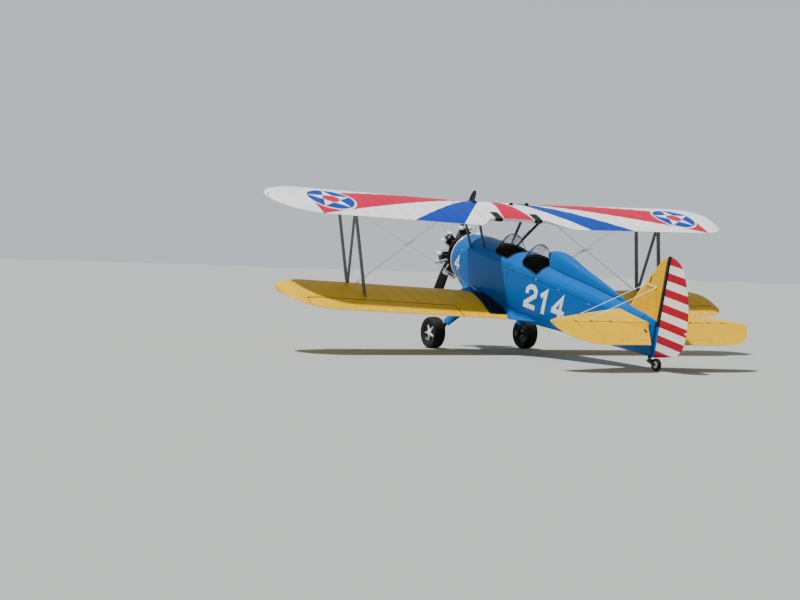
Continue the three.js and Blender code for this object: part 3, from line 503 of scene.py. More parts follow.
def paint_figures(name, side, text, start, foot, high, wide, thick, gap, slant):
    """Figures on one side; start is their forward end on the port side and foot their lower edge."""
    whole = len(text) * wide + (len(text) - 1) * gap
    parts = []
    for k, figure in enumerate(text):
        for path in STROKES[figure]:
            line = [(thick / 2 + k * (wide + gap) + u * (wide - thick), thick / 2 + v * (high - thick))
                    for u, v in path]
            points, faces = stroke(line, thick)
            placed = []
            for along, rise in points:
                run = along + slant * rise
                y = start + run if side > 0 else start + whole - run
                placed.append((side * side_x(y, foot + rise, PAINT_RISE), y, foot + rise))
            parts.append((placed, faces))
    piece(name, merge(*parts), white_figure, sharp=60)


for word, side in SIDES:
    paint_figures(f"figures_{word}", side, **SIDE_FIGURES)
    paint_figures(f"cowl_figure_{word}", side, **COWL_FIGURE)

# Deck joint: the deck's lower edge laps the side and is held by turn fasteners beside the rear
# cockpit, with a bright filler cap and bright locks below them.
LAP_FASTENERS = dict(y=2765, apart=78, count=10, z=261)
LOCKS = ((1060, 206, 20), (3620, 238, 24), (4260, 205, 17), (5060, 150, 12))  # y, z and radius
heads = []
for word, side in SIDES:
    for k in range(LAP_FASTENERS["count"]):
        y, z = LAP_FASTENERS["y"] + LAP_FASTENERS["apart"] * k, LAP_FASTENERS["z"]
        heads.append(dome((side * side_x(y, z), y, z), (side, 0, 0.25), *FASTENER))
    for y, z, radius in LOCKS:
        heads.append(dome((side * side_x(y, z), y, z), (side, 0, 0.1), radius, 7, 16))
piece("deck_fasteners", merge(*heads), fastener_steel)


# Cockpit rims: a roll of black leather, stuffed and laced over the sharp edge of each opening. The
# lacing draws it in at even spaces.
def sweep(path, radius, sides=12, closed=False):
    """A round bar along a path of points; radius is one number or a list with one for each point."""
    points = [Vector(p) for p in path]
    count = len(points)
    rings = []
    side = None
    for i, p in enumerate(points):
        ahead = points[(i + 1) % count] if closed or i + 1 < count else p
        behind = points[i - 1] if closed or i else p
        along = (ahead - behind).normalized()
        if side is None:
            side = along.orthogonal().normalized()
        side = (side - along * side.dot(along)).normalized()
        other = along.cross(side)
        wide = radius[i] if isinstance(radius, list) else radius
        rings.append([tuple(p + side * wide * cos(a) + other * wide * sin(a)) for a in turn(sides)])
    if closed:
        rings.append(rings[0])
    return loft(rings, capped=not closed)


def deck_z(x, y, grow=0.0):
    """The height of the fuselage's top at x and y."""
    _, half, top, shoulder, _, _ = row_at(FUSELAGE, y)
    return shoulder + (top - shoulder + grow) * sqrt(max(0.0, 1 - (x / (half + grow)) ** 2))


def grained(name, dark, light):
    """Waxed hide, or varnish and rubber with a like skin: a fine pebbled grain 2.4 mm wide, a dull sheen."""
    return mottled(name, dark, light, {"Scale": 12.0, "Detail": 5.0}, 0.5, 0.0008, grain=420.0, Roughness=0.5,
                   Specular_IOR_Level=0.4)


RIM_ROLL, RIM_SWELL = 11.0, 0.05
RIM_STEP = 18  # the longest straight length of the roll
black_leather = grained("black leather roll", "#060606", "#151312")
for name, start, end, _ in COCKPITS:
    outline = cockpit_outline(start, end)
    path = []
    for (xa, ya), (xb, yb) in zip(outline, outline[1:] + outline[:1]):
        count = max(1, int(hypot(xb - xa, yb - ya) / RIM_STEP))
        for k in range(count):
            x, y = xa + (xb - xa) * k / count, ya + (yb - ya) * k / count
            path.append((x, y, deck_z(x, y) + 2))
    swell = [RIM_ROLL * (1 + RIM_SWELL * cos(2 * pi * i / 4)) for i in range(len(path))]
    rim = piece(f"{name}_rim", sweep(path, swell, 14, closed=True), black_leather, sharp=60)


# Seats: buckets of sheet aluminium on a pedestal, each with a leather cushion below and one behind.
# The sheet is brushed, which gives it a soft metal shine; the hide is brown and worn paler.
SEAT = dict(half=200, depth=360, pan=-125, back=300, wall=5, turn=60, floor=-590)
LEGS = [(x, aft) for x in (150, -150) for aft in (0, -220)]
seat_alloy = mottled("brushed seat aluminium", "#7d8184", "#c3c6c8",
                     {"Scale": 60.0, "Detail": 4.0, "Distortion": 2.0}, Metallic=0.9, Roughness=0.42)
brown_leather = grained("brown leather cushion", "#2c1a10", "#4c2e1c")


def bucket(at):
    """A bucket of sheet: a U of three walls, deeper at the foot than at the top, and its floor."""
    outside, inside = [], []
    low, corner, rear = SEAT["pan"], SEAT["turn"], at + 55
    for z in steps(low - 30, SEAT["back"], 16):
        rise = max(0.0, (z - low) / (SEAT["back"] - low))
        arm = SEAT["depth"] * (1 - min(1, rise * 1.5)) ** 0.7 + 45
        half = SEAT["half"] * (1 - 0.1 * rise ** 2) - 60 * max(0, rise - 0.8)
        ring = [(half, rear - arm)] + [(half - corner + corner * cos(a), rear - corner + corner * sin(a))
                                       for a in steps(0, pi / 2, 7)]
        ring += [(-x, y) for x, y in reversed(ring)]
        outside.append([(x, y, z) for x, y in ring])
        inside.append([(x * (1 - SEAT["wall"] / half), y - SEAT["wall"] if y > at else y, z)
                       for x, y in ring])
    shell = loft([o + i[::-1] for o, i in zip(outside, inside)])
    pan = block([(x * 0.99, y - 2) for x, y, _ in outside[1]], low - 24, low - 18, 2)
    legs = [sweep([(x, at + aft, low - 20), (x * 0.8, at + aft - 20, SEAT["floor"])], 12) for x, aft in LEGS]
    return merge(shell, pan, *legs)


def signed(value, power):
    """A power that keeps the value's sign."""
    return copysign(abs(value) ** power, value)


def pillow(middle, size, tuft=0.0):
    """A stuffed cushion: rounded edges, a swollen middle and, for a seat back, sewn channels."""
    rings = []
    for p in steps(-pi / 2 + 0.02, pi / 2 - 0.02, 28):
        rise, around = signed(sin(p), 0.6), cos(p) ** 0.5
        ring = []
        for a in turn(64):
            x, y = signed(cos(a), 0.5) * around, signed(sin(a), 0.5) * around
            channel = tuft * abs(sin(pi * 2.5 * x)) ** 0.5
            z = rise * (1 + channel * (1 - abs(x) ** 4))
            ring.append(tuple(m + share * reach for m, share, reach in zip(middle, (x, y, z), size)))
        rings.append(ring)
    return loft(rings)


for name, _, _, at in COCKPITS:
    piece(f"{name}_bucket", bucket(at), seat_alloy, [f"{name}_seat"])
    below = piece(f"{name}_cushion", pillow((0, at - 105, SEAT["pan"] + 28), (178, 150, 42), 0.15),
                  brown_leather, sharp=70)
    behind = piece(f"{name}_back_cushion", pillow((0, 0, 0), (160, 165, 24), 0.2), brown_leather,
                   sharp=70, place=lambda x, y, z, at=at: level(x, at + 22 - z, y + 95))


# Cockpit fittings: plywood floorboards, a control stick with a rubber grip, two rudder pedals, a
# throttle quadrant on the port side and the welded steel tubes of the frame in matt green.
BOARD = dict(inner=60, outer=230, z=-330, thick=12)
STICK = dict(ahead=430, top=130, radius=12, grip=[(0, 16), (8, 19), (100, 17), (108, 14)])
PEDAL = dict(z=-150, inner=105, middle=150, outer=195)
QUADRANT = ((150, 60), (360, 60), (360, 120), (255, 150), (150, 120))  # aft of the opening, and height
KNOB = [(-12, 5), (-9, 13), (9, 13), (12, 5)]
TUBES = dict(low=-300, high=120, clear=16)
board_wood = grained("varnished plywood board", "#5a3d1f", "#7d5a30")  # brown, with a satin varnish
tube_green = worn("green primer on welded tube", "#44512f", "#65734a", 0.6)  # dull
stick_black = worn("black enamel on a control", "#101112", "#2a2b2d", 0.4)  # satin, rubbed grey


def wall_x(side, y, z):
    """Where a frame tube's middle lies beside the hull's inside."""
    return side * (side_x(y, z, -WALL) - TUBES["clear"])


for name, start, end, at in COCKPITS:
    low, high = BOARD["z"], BOARD["z"] + BOARD["thick"]
    plans = [[(side * x, z) for x, z in ((BOARD["inner"], low), (BOARD["outer"], low), (BOARD["outer"], high),
                                         (BOARD["inner"], high))] for side in (1, -1)]
    boards = [block(plan, start - 20, at + 60, 1) for plan in plans]
    piece(f"{name}_floorboards", merge(*boards), board_wood)

    lever, top = at - STICK["ahead"], STICK["top"]
    rod = [(0, lever, low - 20), (0, lever + 12, -60), (0, lever - 10, top)]
    controls = [sweep(rod, STICK["radius"], 14),
                turned_body(STICK["grip"], (0, lever - 8, top - 100), (0, -0.05, 1), 18)]
    for side in (1, -1):
        foot, tread, y = (side * PEDAL["middle"], start + 10, low + 20), PEDAL["z"], start - 15
        controls.append(sweep([foot, (side * PEDAL["middle"], y, tread)], 10, 10))
        controls.append(sweep([(side * PEDAL["inner"], y, tread), (side * PEDAL["outer"], y, tread)], 17, 12))
    piece(f"{name}_controls", merge(*controls), stick_black)

    wall = side_x(start + 260, 90, -WALL)
    quadrant = [block([(start + y, z) for y, z in QUADRANT], wall - 40, wall - 10, 0)]
    for k in range(2):
        foot_y, head_y = start + 235 + 40 * k, start + 190 + 70 * k
        quadrant += [sweep([(wall - 26, foot_y, 110), (wall - 44, head_y, 205)], 5, 8),
                     turned_body(KNOB, (wall - 44, head_y, 210), (1, 0, 0), 14)]
    piece(f"{name}_quadrant", merge(*quadrant), stick_black)

    tubes = []
    for side in (1, -1):
        for z in (TUBES["low"], TUBES["high"]):
            tubes.append(sweep([(wall_x(side, y, z), y, z) for y in steps(start - 30, end + 30, 8)], 11, 10))
        for y in (start + 40, (start + end) / 2, end - 40):
            upright = [(wall_x(side, y, z), y, z) for z in steps(TUBES["low"], TUBES["high"], 6)]
            tubes.append(sweep(upright, 9, 10))
    piece(f"{name}_frame_tubes", merge(*tubes), tube_green)


# Instrument panels: a steel plate in black wrinkle paint, with round dials let into it. Their faces
# are matt black with white marks and a white pointer.
wrinkle, tree, shader, place = finish("black wrinkle paint on steel", Roughness=0.6, Specular_IOR_Level=0.4,
                                      Base_Color=colour("#101112"))
wrinkles = node(tree, "TexNoise", {"Vector": place, "Scale": 300.0, "Detail": 3.0})  # 3 mm apart
bump = node(tree, "Bump", {"Height": wrinkles, "Strength": 0.6, "Distance": 0.001})
tree.links.new(bump, shader.inputs["Normal"])
dial_black = worn("matt black dial face", "#070708", "#111113", 0.8, scale=60.0)  # swallows light
dial_white = worn("white dial marks", "#dad8ce", "#f3f1e8", 0.7, scale=60.0)  # chalky and a little yellowed
bezel_black = worn("satin black bezel", "#111215", "#202125", 0.35, scale=60.0)  # a soft line of light
DIALS = ((-150, 330, 40), (0, 345, 46), (150, 330, 40), (-85, 235, 34), (85, 235, 34), (0, 215, 30),
         (-230, 250, 26), (230, 250, 26))  # x, z and radius
PLATE_Y = (-46, -33.5, -32)  # the plate's back, and its edge and face, from the opening's front


def ring_solid(radius, tube, at, sides=32):
    """A ring lying in a plate that faces aft."""
    rings = []
    for a in steps(0, 2 * pi, sides + 1):
        reach = [(radius + tube * cos(b), at[1] + tube * sin(b)) for b in turn(8)]
        rings.append([(at[0] + r * cos(a), y, at[2] + r * sin(a)) for r, y in reach])
    return loft(rings, capped=False)


for name, start, _, _ in COCKPITS:
    back, edge, face = (start + y for y in PLATE_Y)
    plan = [(side_x(back, z, -WALL - 3), z) for z in steps(110, 225, 6)]
    plan += [(x, deck_z(x, back, -WALL - 3)) for x in steps(side_x(back, 240, -WALL - 3), 0, 16)]
    plan += [(-x, z) for x, z in reversed(plan[:-1])]
    plate = loft([[(x, y, z) for x, z in plan] for y in (back, edge, face)])
    piece(f"{name}_panel_plate", plate, wrinkle, [f"{name}_panel"])
    bezels, faces, marks = [], [], []
    for number, (x, z, radius) in enumerate(DIALS):
        bezels.append(ring_solid(radius, 4, (x, face + 2, z)))
        faces.append(loft([[(x + r * cos(a), y, z + r * sin(a)) for a in turn(32)]
                           for r, y in ((radius - 1, face - 1), (radius - 1, face + 1.2), (2, face + 1.4))]))
        for k in range(12):
            a = radians(60 + 25 * k)
            ends = [(x - r * radius * cos(a), face + 2, z + r * radius * sin(a)) for r in (0.78, 0.92)]
            marks.append(sweep(ends, 0.9, 4))
        a = radians(200 - 37 * number)
        point = (x + 0.66 * radius * cos(a), face + 3, z + 0.66 * radius * sin(a))
        marks.append(sweep([(x, face + 3, z), point], [2.4, 0.8], 5))
    piece(f"{name}_bezels", merge(*bezels), bezel_black)
    piece(f"{name}_dials", merge(*faces), dial_black)
    piece(f"{name}_dial_marks", merge(*marks), dial_white)


# Windscreens: a curved pane of clear acrylic, its upper edge an arch that stands over the opening's
# front, in a thin painted steel frame that is screwed to the deck
SCREEN = dict(half=318, foot=-197, swept=292, arch=95, top=755, drop=312, low=380, bulge=16, thick=3.5)
# Acrylic: clear, with a faint haze where it has been rubbed clean
acrylic, tree, shader, place = finish("clear acrylic", IOR=1.45, Transmission_Weight=1.0,
                                      Base_Color=colour("#eef6f6"), Alpha=0.35)
rubbed = node(tree, "TexNoise", {"Vector": place, "Scale": 30.0})
haze = node(tree, "MapRange", {0: rubbed, 1: 0.45, 2: 0.75, 3: 0.02, 4: 0.16})
tree.links.new(haze, shader.inputs["Roughness"])


def screen_point(start, share, rise):
    """A point of the pane: share runs from -1 to 1 across it, and rise from 0 to 1 up to its arch."""
    x = SCREEN["half"] * share
    low = Vector((x, start + SCREEN["foot"] + SCREEN["swept"] * share ** 2, SCREEN["low"]))
    high = SCREEN["top"] - SCREEN["drop"] * abs(share) ** 2.2
    arch = Vector((x, start + SCREEN["arch"] + 15 * (1 - share ** 2), high))
    arch.z = max(arch.z, deck_z(x, arch.y) + 4)
    for _ in range(12):
        low = low.lerp(arch, min(1, max(0, (deck_z(x, low.y) - 4 - low.z) / (arch.z - low.z))))
    return low.lerp(arch, rise) - Vector((0, SCREEN["bulge"] * sin(pi * rise) * (1 - share ** 2), 0))


def set_back(points, y=1.5, z=0):
    return [p + Vector((0, y, z)) for p in points]


for name, start, _, _ in COCKPITS:
    grid = [[screen_point(start, s, r) for s in steps(-0.995, 0.995, 41)] for r in steps(0, 1, 13)]
    pane = loft([[tuple(p) for p in row + set_back(row, SCREEN["thick"])[::-1]] for row in grid])
    piece(f"{name}_pane", pane, acrylic, [f"{name}_windscreen"])
    bars = [sweep(set_back(row[k] for row in grid), 4.5, 6) for k in (12, 28)]
    frame_bars = merge(sweep(set_back(grid[-1]), 6, 8), sweep(set_back(grid[0], z=4), 7, 8), *bars)
    piece(f"{name}_pane_frame", frame_bars, bezel_black)


# Headrest: a long sheet aluminium fairing behind the rear cockpit that runs out into the tail, with
# a padded leather rest on its front.
HEADREST = ((3598, 182, 750, 380), (3760, 180, 760, 360), (4080, 156, 708, 340), (4420, 122, 632, 320),
            (4900, 82, 552, 300), (5400, 44, 458, 280), (5740, 14, 380, 270))  # y, half width, top and foot
HEADREST_FACE = dict(y=3638, z=475, lean=0.458)  # its front face leans aft towards the foot
HEADREST_EDGE = ((0, 0.93, 0), (2, 0.975, 0.01), (8, 0.995, 0.05))  # the rounding of the front face's edge
HEADREST_POWER = 0.62  # how square its arch is


def headrest_face(z):
    return HEADREST_FACE["y"] - HEADREST_FACE["lean"] * (z - HEADREST_FACE["z"])


def headrest_ring(y, share=1.0, flat=1.0):
    """The fairing's arch at y; flat is how far it has left the leaning front face for an upright plane."""
    _, half, top, foot = row_at(HEADREST, y)
    ring = []
    for a in steps(0, pi, 48):
        z = foot + (top - foot) * share * max(0.0, sin(a)) ** HEADREST_POWER
        ring.append((half * share * signed(cos(a), HEADREST_POWER),
                     headrest_face(z) * (1 - flat) + y * flat, z))
    return ring


front, joined, end = HEADREST[0][0], HEADREST[1][0], HEADREST[-1][0]
rings = [headrest_ring(front + y, share, flat) for y, share, flat in HEADREST_EDGE]
rings += [headrest_ring(front + (joined - front) * f, 1, f) for f in (0.15, 0.3, 0.5, 0.7, 0.85, 1)]
rings += [headrest_ring(y) for y in steps(joined + 30, end, 56)]
piece("headrest_shell", loft(rings), blue_enamel, ["headrest_fairing"])

# Where the fairing meets the deck: a moulded rubber strip in the joint on each side, so that the two
# sheets don't chafe. It shows as a thin dark line along the fairing's foot.
strip_rubber = grained("moulded rubber strip", "#080a0c", "#14181c")
for word, side in SIDES:
    path = []
    for y in steps(3668, 5620, 60):
        _, half, top, foot = row_at(HEADREST, y)
        for a in steps(0, pi / 2, 160):
            x, z = half * cos(a) ** HEADREST_POWER, foot + (top - foot) * sin(a) ** HEADREST_POWER
            if z > deck_z(x, y):
                break
        path.append((side * (x + 2), y, deck_z(x, y) + 2))
    piece(f"headrest_strip_{word}", sweep(path, 7, 8), strip_rubber)

# The rest itself: the rims' black leather over a block of foam, tacked to the leaning face, with
# its edges drawn in by the tacks.
FACE_LEAN = atan(HEADREST_FACE["lean"])
REST_Z, REST_OUT = 650, 28


def on_headrest(x, y, z):
    """Lays a cushion on the leaning face: y runs up it and z out from it."""
    out = z + REST_OUT
    return level(x, headrest_face(REST_Z) - y * sin(FACE_LEAN) - out * cos(FACE_LEAN),
                 REST_Z + y * cos(FACE_LEAN) - out * sin(FACE_LEAN))


pad = piece("headrest_cushion", pillow((0, 0, 0), (158, 98, 30)), black_leather,
            ["headrest_pad"], sharp=70, place=on_headrest)


# Engine: seven air-cooled cylinders round a crankcase. Barrels are steel with turned fins, heads are
# cast aluminium with sawn fins, both painted black; the rocker boxes are bright.
CYLINDERS, CYLINDER_Y = 7, 330
CASE = [(66, 20), (66, 62), (92, 74), (110, 84), (120, 128), (124, 165), (160, 190), (185, 205), (215, 226),
        (230, 238), (420, 238), (440, 220), (450, 205), (689, 205)]  # y and radius, back to the firewall
CASE_BOLTS = dict(count=14, radius=147, y=121)
VALVE = 94  # how far each valve stands to the side of its cylinder
BARREL_FINS = dict(count=11, first=220, apart=12.5, core=74, wide=91)
HEAD_FINS = dict(count=9, first=366, apart=13.5, core=80, wide=101)  # the outermost grow narrower
ROD_FOOT = [(0, 15), (14, 15), (20, 11)]  # the nut that holds each pushrod tube to the crankcase
BOX_PLAN = ((-78, 0.55), (-74, 0.8), (-62, 1), (-20, 1.02), (30, 1.02), (66, 1), (76, 0.8), (79, 0.5))
black_engine = worn("black engine enamel", "#0b0c0d", "#26282b", 0.42)  # baked, half dull from heat
grey_case = worn("grey enamel on the crankcase", "#1c1e20", "#3b3f43", 0.4)  # a little oily
bright_alloy = worn("polished cast aluminium", "#e6e8e9", "#ffffff", 0.3, metal=0.15, scale=30.0)  # bright
plug_black = worn("black rubber lead", "#0d0d0e", "#1c1c1e", 0.6)  # dull


def turned_about_y(shape, index):
    """Turns a body drawn for the top cylinder to another cylinder's place."""
    a = 2 * pi * index / CYLINDERS
    points, faces = shape
    return [(x * cos(a) + z * sin(a), y, z * cos(a) - x * sin(a)) for x, y, z in points], faces


bolt_ring = CASE_BOLTS["radius"]
bolts = [dome((sin(a) * bolt_ring, CASE_BOLTS["y"], cos(a) * bolt_ring), (0, -1, 0), 9, 10, 6)
         for a in turn(CASE_BOLTS["count"])]
case_body = turned_body(CASE, (0, 0, 0), (0, 1, 0), 56)
piece("crankcase", merge(case_body, *bolts), grey_case, ["engine"], sharp=30)
shaft_body = turned_body([(-100, 26), (-96, 28), (80, 28)], (0, 0, 0), (0, 1, 0), 24)
piece("propeller_shaft", shaft_body, bright_alloy)


def barrel():
    """One cylinder: a finned steel barrel, then a head with wider fins and a domed top."""
    profile = [(200, 88), (212, 88), (212, 74)]
    core, wide = BARREL_FINS["core"], BARREL_FINS["wide"]
    for i in range(BARREL_FINS["count"]):
        d = BARREL_FINS["first"] + i * BARREL_FINS["apart"]
        profile += [(d, core), (d + 1, wide), (d + 4, wide), (d + 6, core)]
    core = HEAD_FINS["core"]
    for i in range(HEAD_FINS["count"]):
        d = HEAD_FINS["first"] + i * HEAD_FINS["apart"]
        wide = HEAD_FINS["wide"] - 3.0 * max(0, i - 5) ** 1.5
        profile += [(d, core), (d + 1, wide), (d + 5, wide), (d + 7, core)]
    profile += [(492, 60), (500, 24)]
    return turned_body(profile, (0, CYLINDER_Y, 0), (0, 0, 1), 26)


def rocker_box(side):
    """A cast cover over a valve, rounded like a loaf and tilted with its valve."""
    rings = []
    for y, share in BOX_PLAN:
        ring = []
        for a in turn(20):
            u, v = signed(cos(a), 0.6) * 30 * share, signed(sin(a), 0.6) * 33 * share
            ring.append((side * VALVE + u, CYLINDER_Y + y, 500 + v - side * u * 0.2))
        rings.append(ring)
    return loft(rings)


barrels, boxes, rods, leads = [barrel()], [], [], []
y = CYLINDER_Y
for side in (1, -1):
    boxes.append(rocker_box(side))
    rods.append(sweep([(side * 40, y - 130, 200), (side * VALVE, y - 70, 470)], 9.5, 10))
    rods.append(turned_body(ROD_FOOT, (side * 40, y - 130, 200), (side * 54, 60, 270), 12))
    leads.append(sweep([(side * 60, y - 148, 190), (side * 84, y - 150, 300), (side * 92, y - 90, 400),
                        (side * 66, y - 92, 452)], 4.5, 8))
pipes = [sweep([(-52, 455, 195), (-58, 470, 260), (-60, 462, 360), (-60, 430, 440)], 21, 14)]
for name, parts, metal, sharp in (
        ("cylinders", barrels, black_engine, 30), ("rocker_boxes", boxes, bright_alloy, 50),
        ("pushrod_tubes", rods, bright_alloy, 35), ("plug_leads", leads, plug_black, 70),
        ("intake_pipes", pipes, black_engine, 70)):
    copies = [turned_about_y(part, index) for index in range(CYLINDERS) for part in parts]
    piece(name, merge(*copies), metal, sharp=sharp)

# Exhaust: seven stubs into a collector ring of rolled steel, black with soot, and a pipe out to port
# that heat has left pale
EXHAUST = dict(y=508, radius=392, tube=29)
STUB = [(0, 424, 404), (0, 452, 398), (0, 500, 392)]
OUTLET = [(372, 478, -108), (402, 464, -118), (520, 450, -158), (638, 438, -194)]
sooty_steel = worn("sooted collector steel", "#0e0d0c", "#2b2826", 0.7, scale=9.0, metal=0.3)
burnt_steel = mottled("heat-bleached exhaust steel", "#8f8a83", "#e8e6e1", {"Scale": 5.0, "Detail": 5.0},
                      Metallic=0.6, Roughness=0.4)
rings = []
for a in steps(0, 2 * pi, 97):
    reach = [(EXHAUST["radius"] + EXHAUST["tube"] * cos(b), EXHAUST["y"] + EXHAUST["tube"] * sin(b))
             for b in turn(16)]
    rings.append([(r * sin(a), y, r * cos(a)) for r, y in reach])
stubs = [turned_about_y(sweep(STUB, 25, 14), i) for i in range(CYLINDERS)]
piece("exhaust_collector", merge(loft(rings, capped=False), *stubs), sooty_steel,
      ["exhaust"], sharp=60)
piece("exhaust_outlet", sweep(OUTLET, 21, 18), burnt_steel, sharp=60)

# Propeller: two forged aluminium blades, anodised dark, clamped in a steel hub and set at rest with
# its upper blade leaning to starboard
PROPELLER_TURNED = 0.25
BLADE = ((40, 84, 80, 45), (130, 92, 74, 45), (260, 130, 52, 41), (480, 176, 34, 32), (800, 196, 24, 23),
         (1080, 170, 17, 18), (1200, 120, 12, 16), (1245, 44, 8, 15))  # reach, width, thickness and pitch
BLADE_TIP = (1180, 65)  # where the round tip begins, and its length
HUB = [(-64, 32), (-62, 76), (-40, 84), (40, 84), (58, 72), (60, 32)]
blade_black = worn("dark anodised aluminium", "#0d0e10", "#222428", 0.35, scale=6.0)  # satin
hub_steel = worn("oiled hub steel", "#34373a", "#6c7074", 0.35, metal=0.8)  # dark with soft glints


def in_propeller(x, y, z):
    c, s = cos(PROPELLER_TURNED), sin(PROPELLER_TURNED)
    return level(x * c - z * s, y, x * s + z * c)


def blade_ring(reach):
    _, width, thick, pitch = row_at(BLADE, reach)
    c, s = cos(radians(pitch)), sin(radians(pitch))
    ring = []
    for a in turn(28):
        u = width / 2 * cos(a)
        v = thick / 2 * sin(a) * (1 + 0.25 * cos(a) if reach > 200 else 1)
        ring.append((u * c - v * s, u * s + v * c, reach))
    return ring


reaches = steps(60, BLADE_TIP[0], 44) + [BLADE_TIP[0] + BLADE_TIP[1] * sin(a) for a in steps(0.15, pi / 2, 9)]
blade = loft([blade_ring(reach) for reach in reaches])
other = [(-x, y, -z) for x, y, z in blade[0]], blade[1]
piece("blades", merge(blade, other), blade_black, ["propeller"], "propeller", 50, in_propeller)
parts = [turned_body(HUB, (0, 0, 0), (0, 1, 0), 40)]
for s in (1, -1):
    parts.append(turned_body([(58 * s, 62), (66 * s, 66), (118 * s, 62), (124 * s, 52)], (0, 0, 0),
                             (0, 0, 1), 28))
    for x in (58, -58):
        parts.append(turned_body([(-34, 9), (34, 9)], (x, 0, 92 * s), (0, 1, 0), 10))
parts.append(turned_body([(-110, 8), (-108, 16), (-96, 24), (-60, 26)], (0, 0, 0), (0, 1, 0), 20))
piece("propeller_hub", merge(*parts), hub_steel, body="propeller", place=in_propeller)


# Wings: spruce spars and ribs under polyester fabric, shrunk tight with heat, doped and sprayed gloss.
# The fabric sinks a few millimetres between the ribs, and pinked tape runs over each rib.
CENTRE_HALF = 850
UPPER = dict(le=1036, z=1103, incidence=radians(5.1), dihedral=radians(1.26), bend=CENTRE_HALF, half=4902,
             tip=4050, notched=True)
LOWER = dict(le=1637, z=-522, incidence=radians(4.2), dihedral=radians(2.1), bend=0, half=4745, tip=3950,
             notched=False)
AIRFOIL_THICK, AIRFOIL_CAMBER, AIRFOIL_CREST = 0.13, 0.02, 0.4
BAY, TAPE = 280.0, 0.03  # from rib to rib in mm, and half a tape's width in m
SAG = 5.0  # how far the fabric sinks between two ribs
CHORD_STEPS, SPAN_STEP, TIP_FROM = 30, 35, 4400
ROUND_FRONT = 0.38  # how much of what a tip loses comes off its front
NOTCH = dict(flat=540, half=1050, depth=390, bend=0.4, edge=44)  # the upper wing's notch over the cockpit


def section_at(s, thin, sag):
    """The heights of a wing section's top and underside at a share s of its chord."""
    curve = 0.2969 * sqrt(s) - 0.126 * s - 0.3516 * s ** 2 + 0.2843 * s ** 3 - 0.1015 * s ** 4
    half = 5 * AIRFOIL_THICK * curve * thin * CHORD + 2
    if s < AIRFOIL_CREST:
        line = AIRFOIL_CAMBER / AIRFOIL_CREST ** 2 * (2 * AIRFOIL_CREST * s - s * s)
    else:
        fall = 1 - 2 * AIRFOIL_CREST + 2 * AIRFOIL_CREST * s - s * s
        line = AIRFOIL_CAMBER / (1 - AIRFOIL_CREST) ** 2 * fall
    mean = line * thin * CHORD
    sunk = sag * min(1, max(0, (s - 0.04) / 0.12)) * min(1, (1 - s) / 0.15)
    return mean + half - sunk, mean - half + sunk * 0.8


def rib(size=1, thin=1, front=0, sag=0):
    """A wing section as a loop of (y, z) from the leading edge over the top and back underneath."""
    shares = [(1 - cos(pi * i / (CHORD_STEPS - 1))) / 2 for i in range(CHORD_STEPS)]
    heights = [section_at(s, thin, sag) for s in shares]
    loop = [(front + s * CHORD * size, high) for s, (high, _) in zip(shares, heights)]
    return loop + [(front + s * CHORD * size, low) for s, (_, low) in zip(shares, heights)][::-1]


def tip_share(wing, x):
    """The chord and thickness left at x, where the tip rounds off."""
    out = max(0.0, (x - wing["tip"]) / (wing["half"] - wing["tip"]))
    size = max(0.03, (1 - out ** 2.2) ** (1 / 2.2))
    return size, max(0.06, size ** 0.8)


def notched(x, section):
    """Draws a section's rear in at x; the deeper the notch is there, the blunter its edge."""
    along = min(1.0, max(0.0, (abs(x) - NOTCH["flat"]) / (NOTCH["half"] - NOTCH["flat"])))
    share = 1 - NOTCH["depth"] / CHORD * (1 + cos(pi * along)) / 2
    rear = NOTCH["bend"] * CHORD
    blunt = NOTCH["edge"] * (1 - share) * CHORD / NOTCH["depth"]
    made = []
    for k, (y, z) in enumerate(section):
        run = max(0.0, (y - rear) / (CHORD - rear))
        raised = z + (blunt * run ** 2 if k < CHORD_STEPS else 0)
        made.append((y if run == 0 else rear + run * (share * CHORD - rear), raised))
    return made


def wing_body(wing, side, start, end=None):
    """A wing's length from start to its end, as rings in the wing's own axes."""
    stop = wing["half"] if end is None else end
    stations = [start] + [x for x in range(-1050, TIP_FROM, SPAN_STEP)
                          if start + 8 < x < min(stop, TIP_FROM) - 8]
    if end is None:
        stations += [stop - (stop - TIP_FROM) * cos(a) for a in steps(0.12, pi / 2, 22)]
    else:
        stations.append(end)
    rings = []
    for x in stations:
        size, thin = tip_share(wing, x)
        sag = SAG * (1 - cos(2 * pi * x / BAY)) / 2 * (1 if x < wing["tip"] + 300 else 0.3)
        section = rib(size, thin, ROUND_FRONT * (1 - size) * CHORD, sag)
        if wing["notched"] and abs(x) < NOTCH["half"]:
            section = notched(x, section)
        rings.append([(side * x, y, z) for y, z in section])
    return loft(rings)


def wing_axes(wing, side):
    """Turns a wing's own axes into the aircraft's level axes."""
    return (Matrix.Translation((side * wing["bend"], wing["le"], wing["z"]))
            @ Matrix.Rotation(-side * wing["dihedral"], 4, "Y") @ Matrix.Rotation(-wing["incidence"], 4, "X")
            @ Matrix.Translation((-side * wing["bend"], 0, 0)))


def in_wing(wing, side):
    """Returns the function that places points of a wing's own axes in the part's frame."""
    matrix = wing_axes(wing, side)
    return lambda x, y, z: level(*(matrix @ Vector((x, y, z))))


# Doped fabric: woven polyester filled with dope and gloss colour, so it has the soft gloss of paint
# over a faint weave. The threads are 0.4 mm apart, drawn 4 mm apart to show at all.
def coats(tree, paint, *layers):
    """Lays coats over a paint; each comes with two values and covers where the first is the greater."""
    for more, less, coat in layers:
        covers = node(tree, "Math", {0: more, 1: less}, operation="GREATER_THAN")
        paint = node(tree, "Mix", {"Factor": covers, "A": paint, "B": coat}, "Result", data_type="RGBA")
    return paint


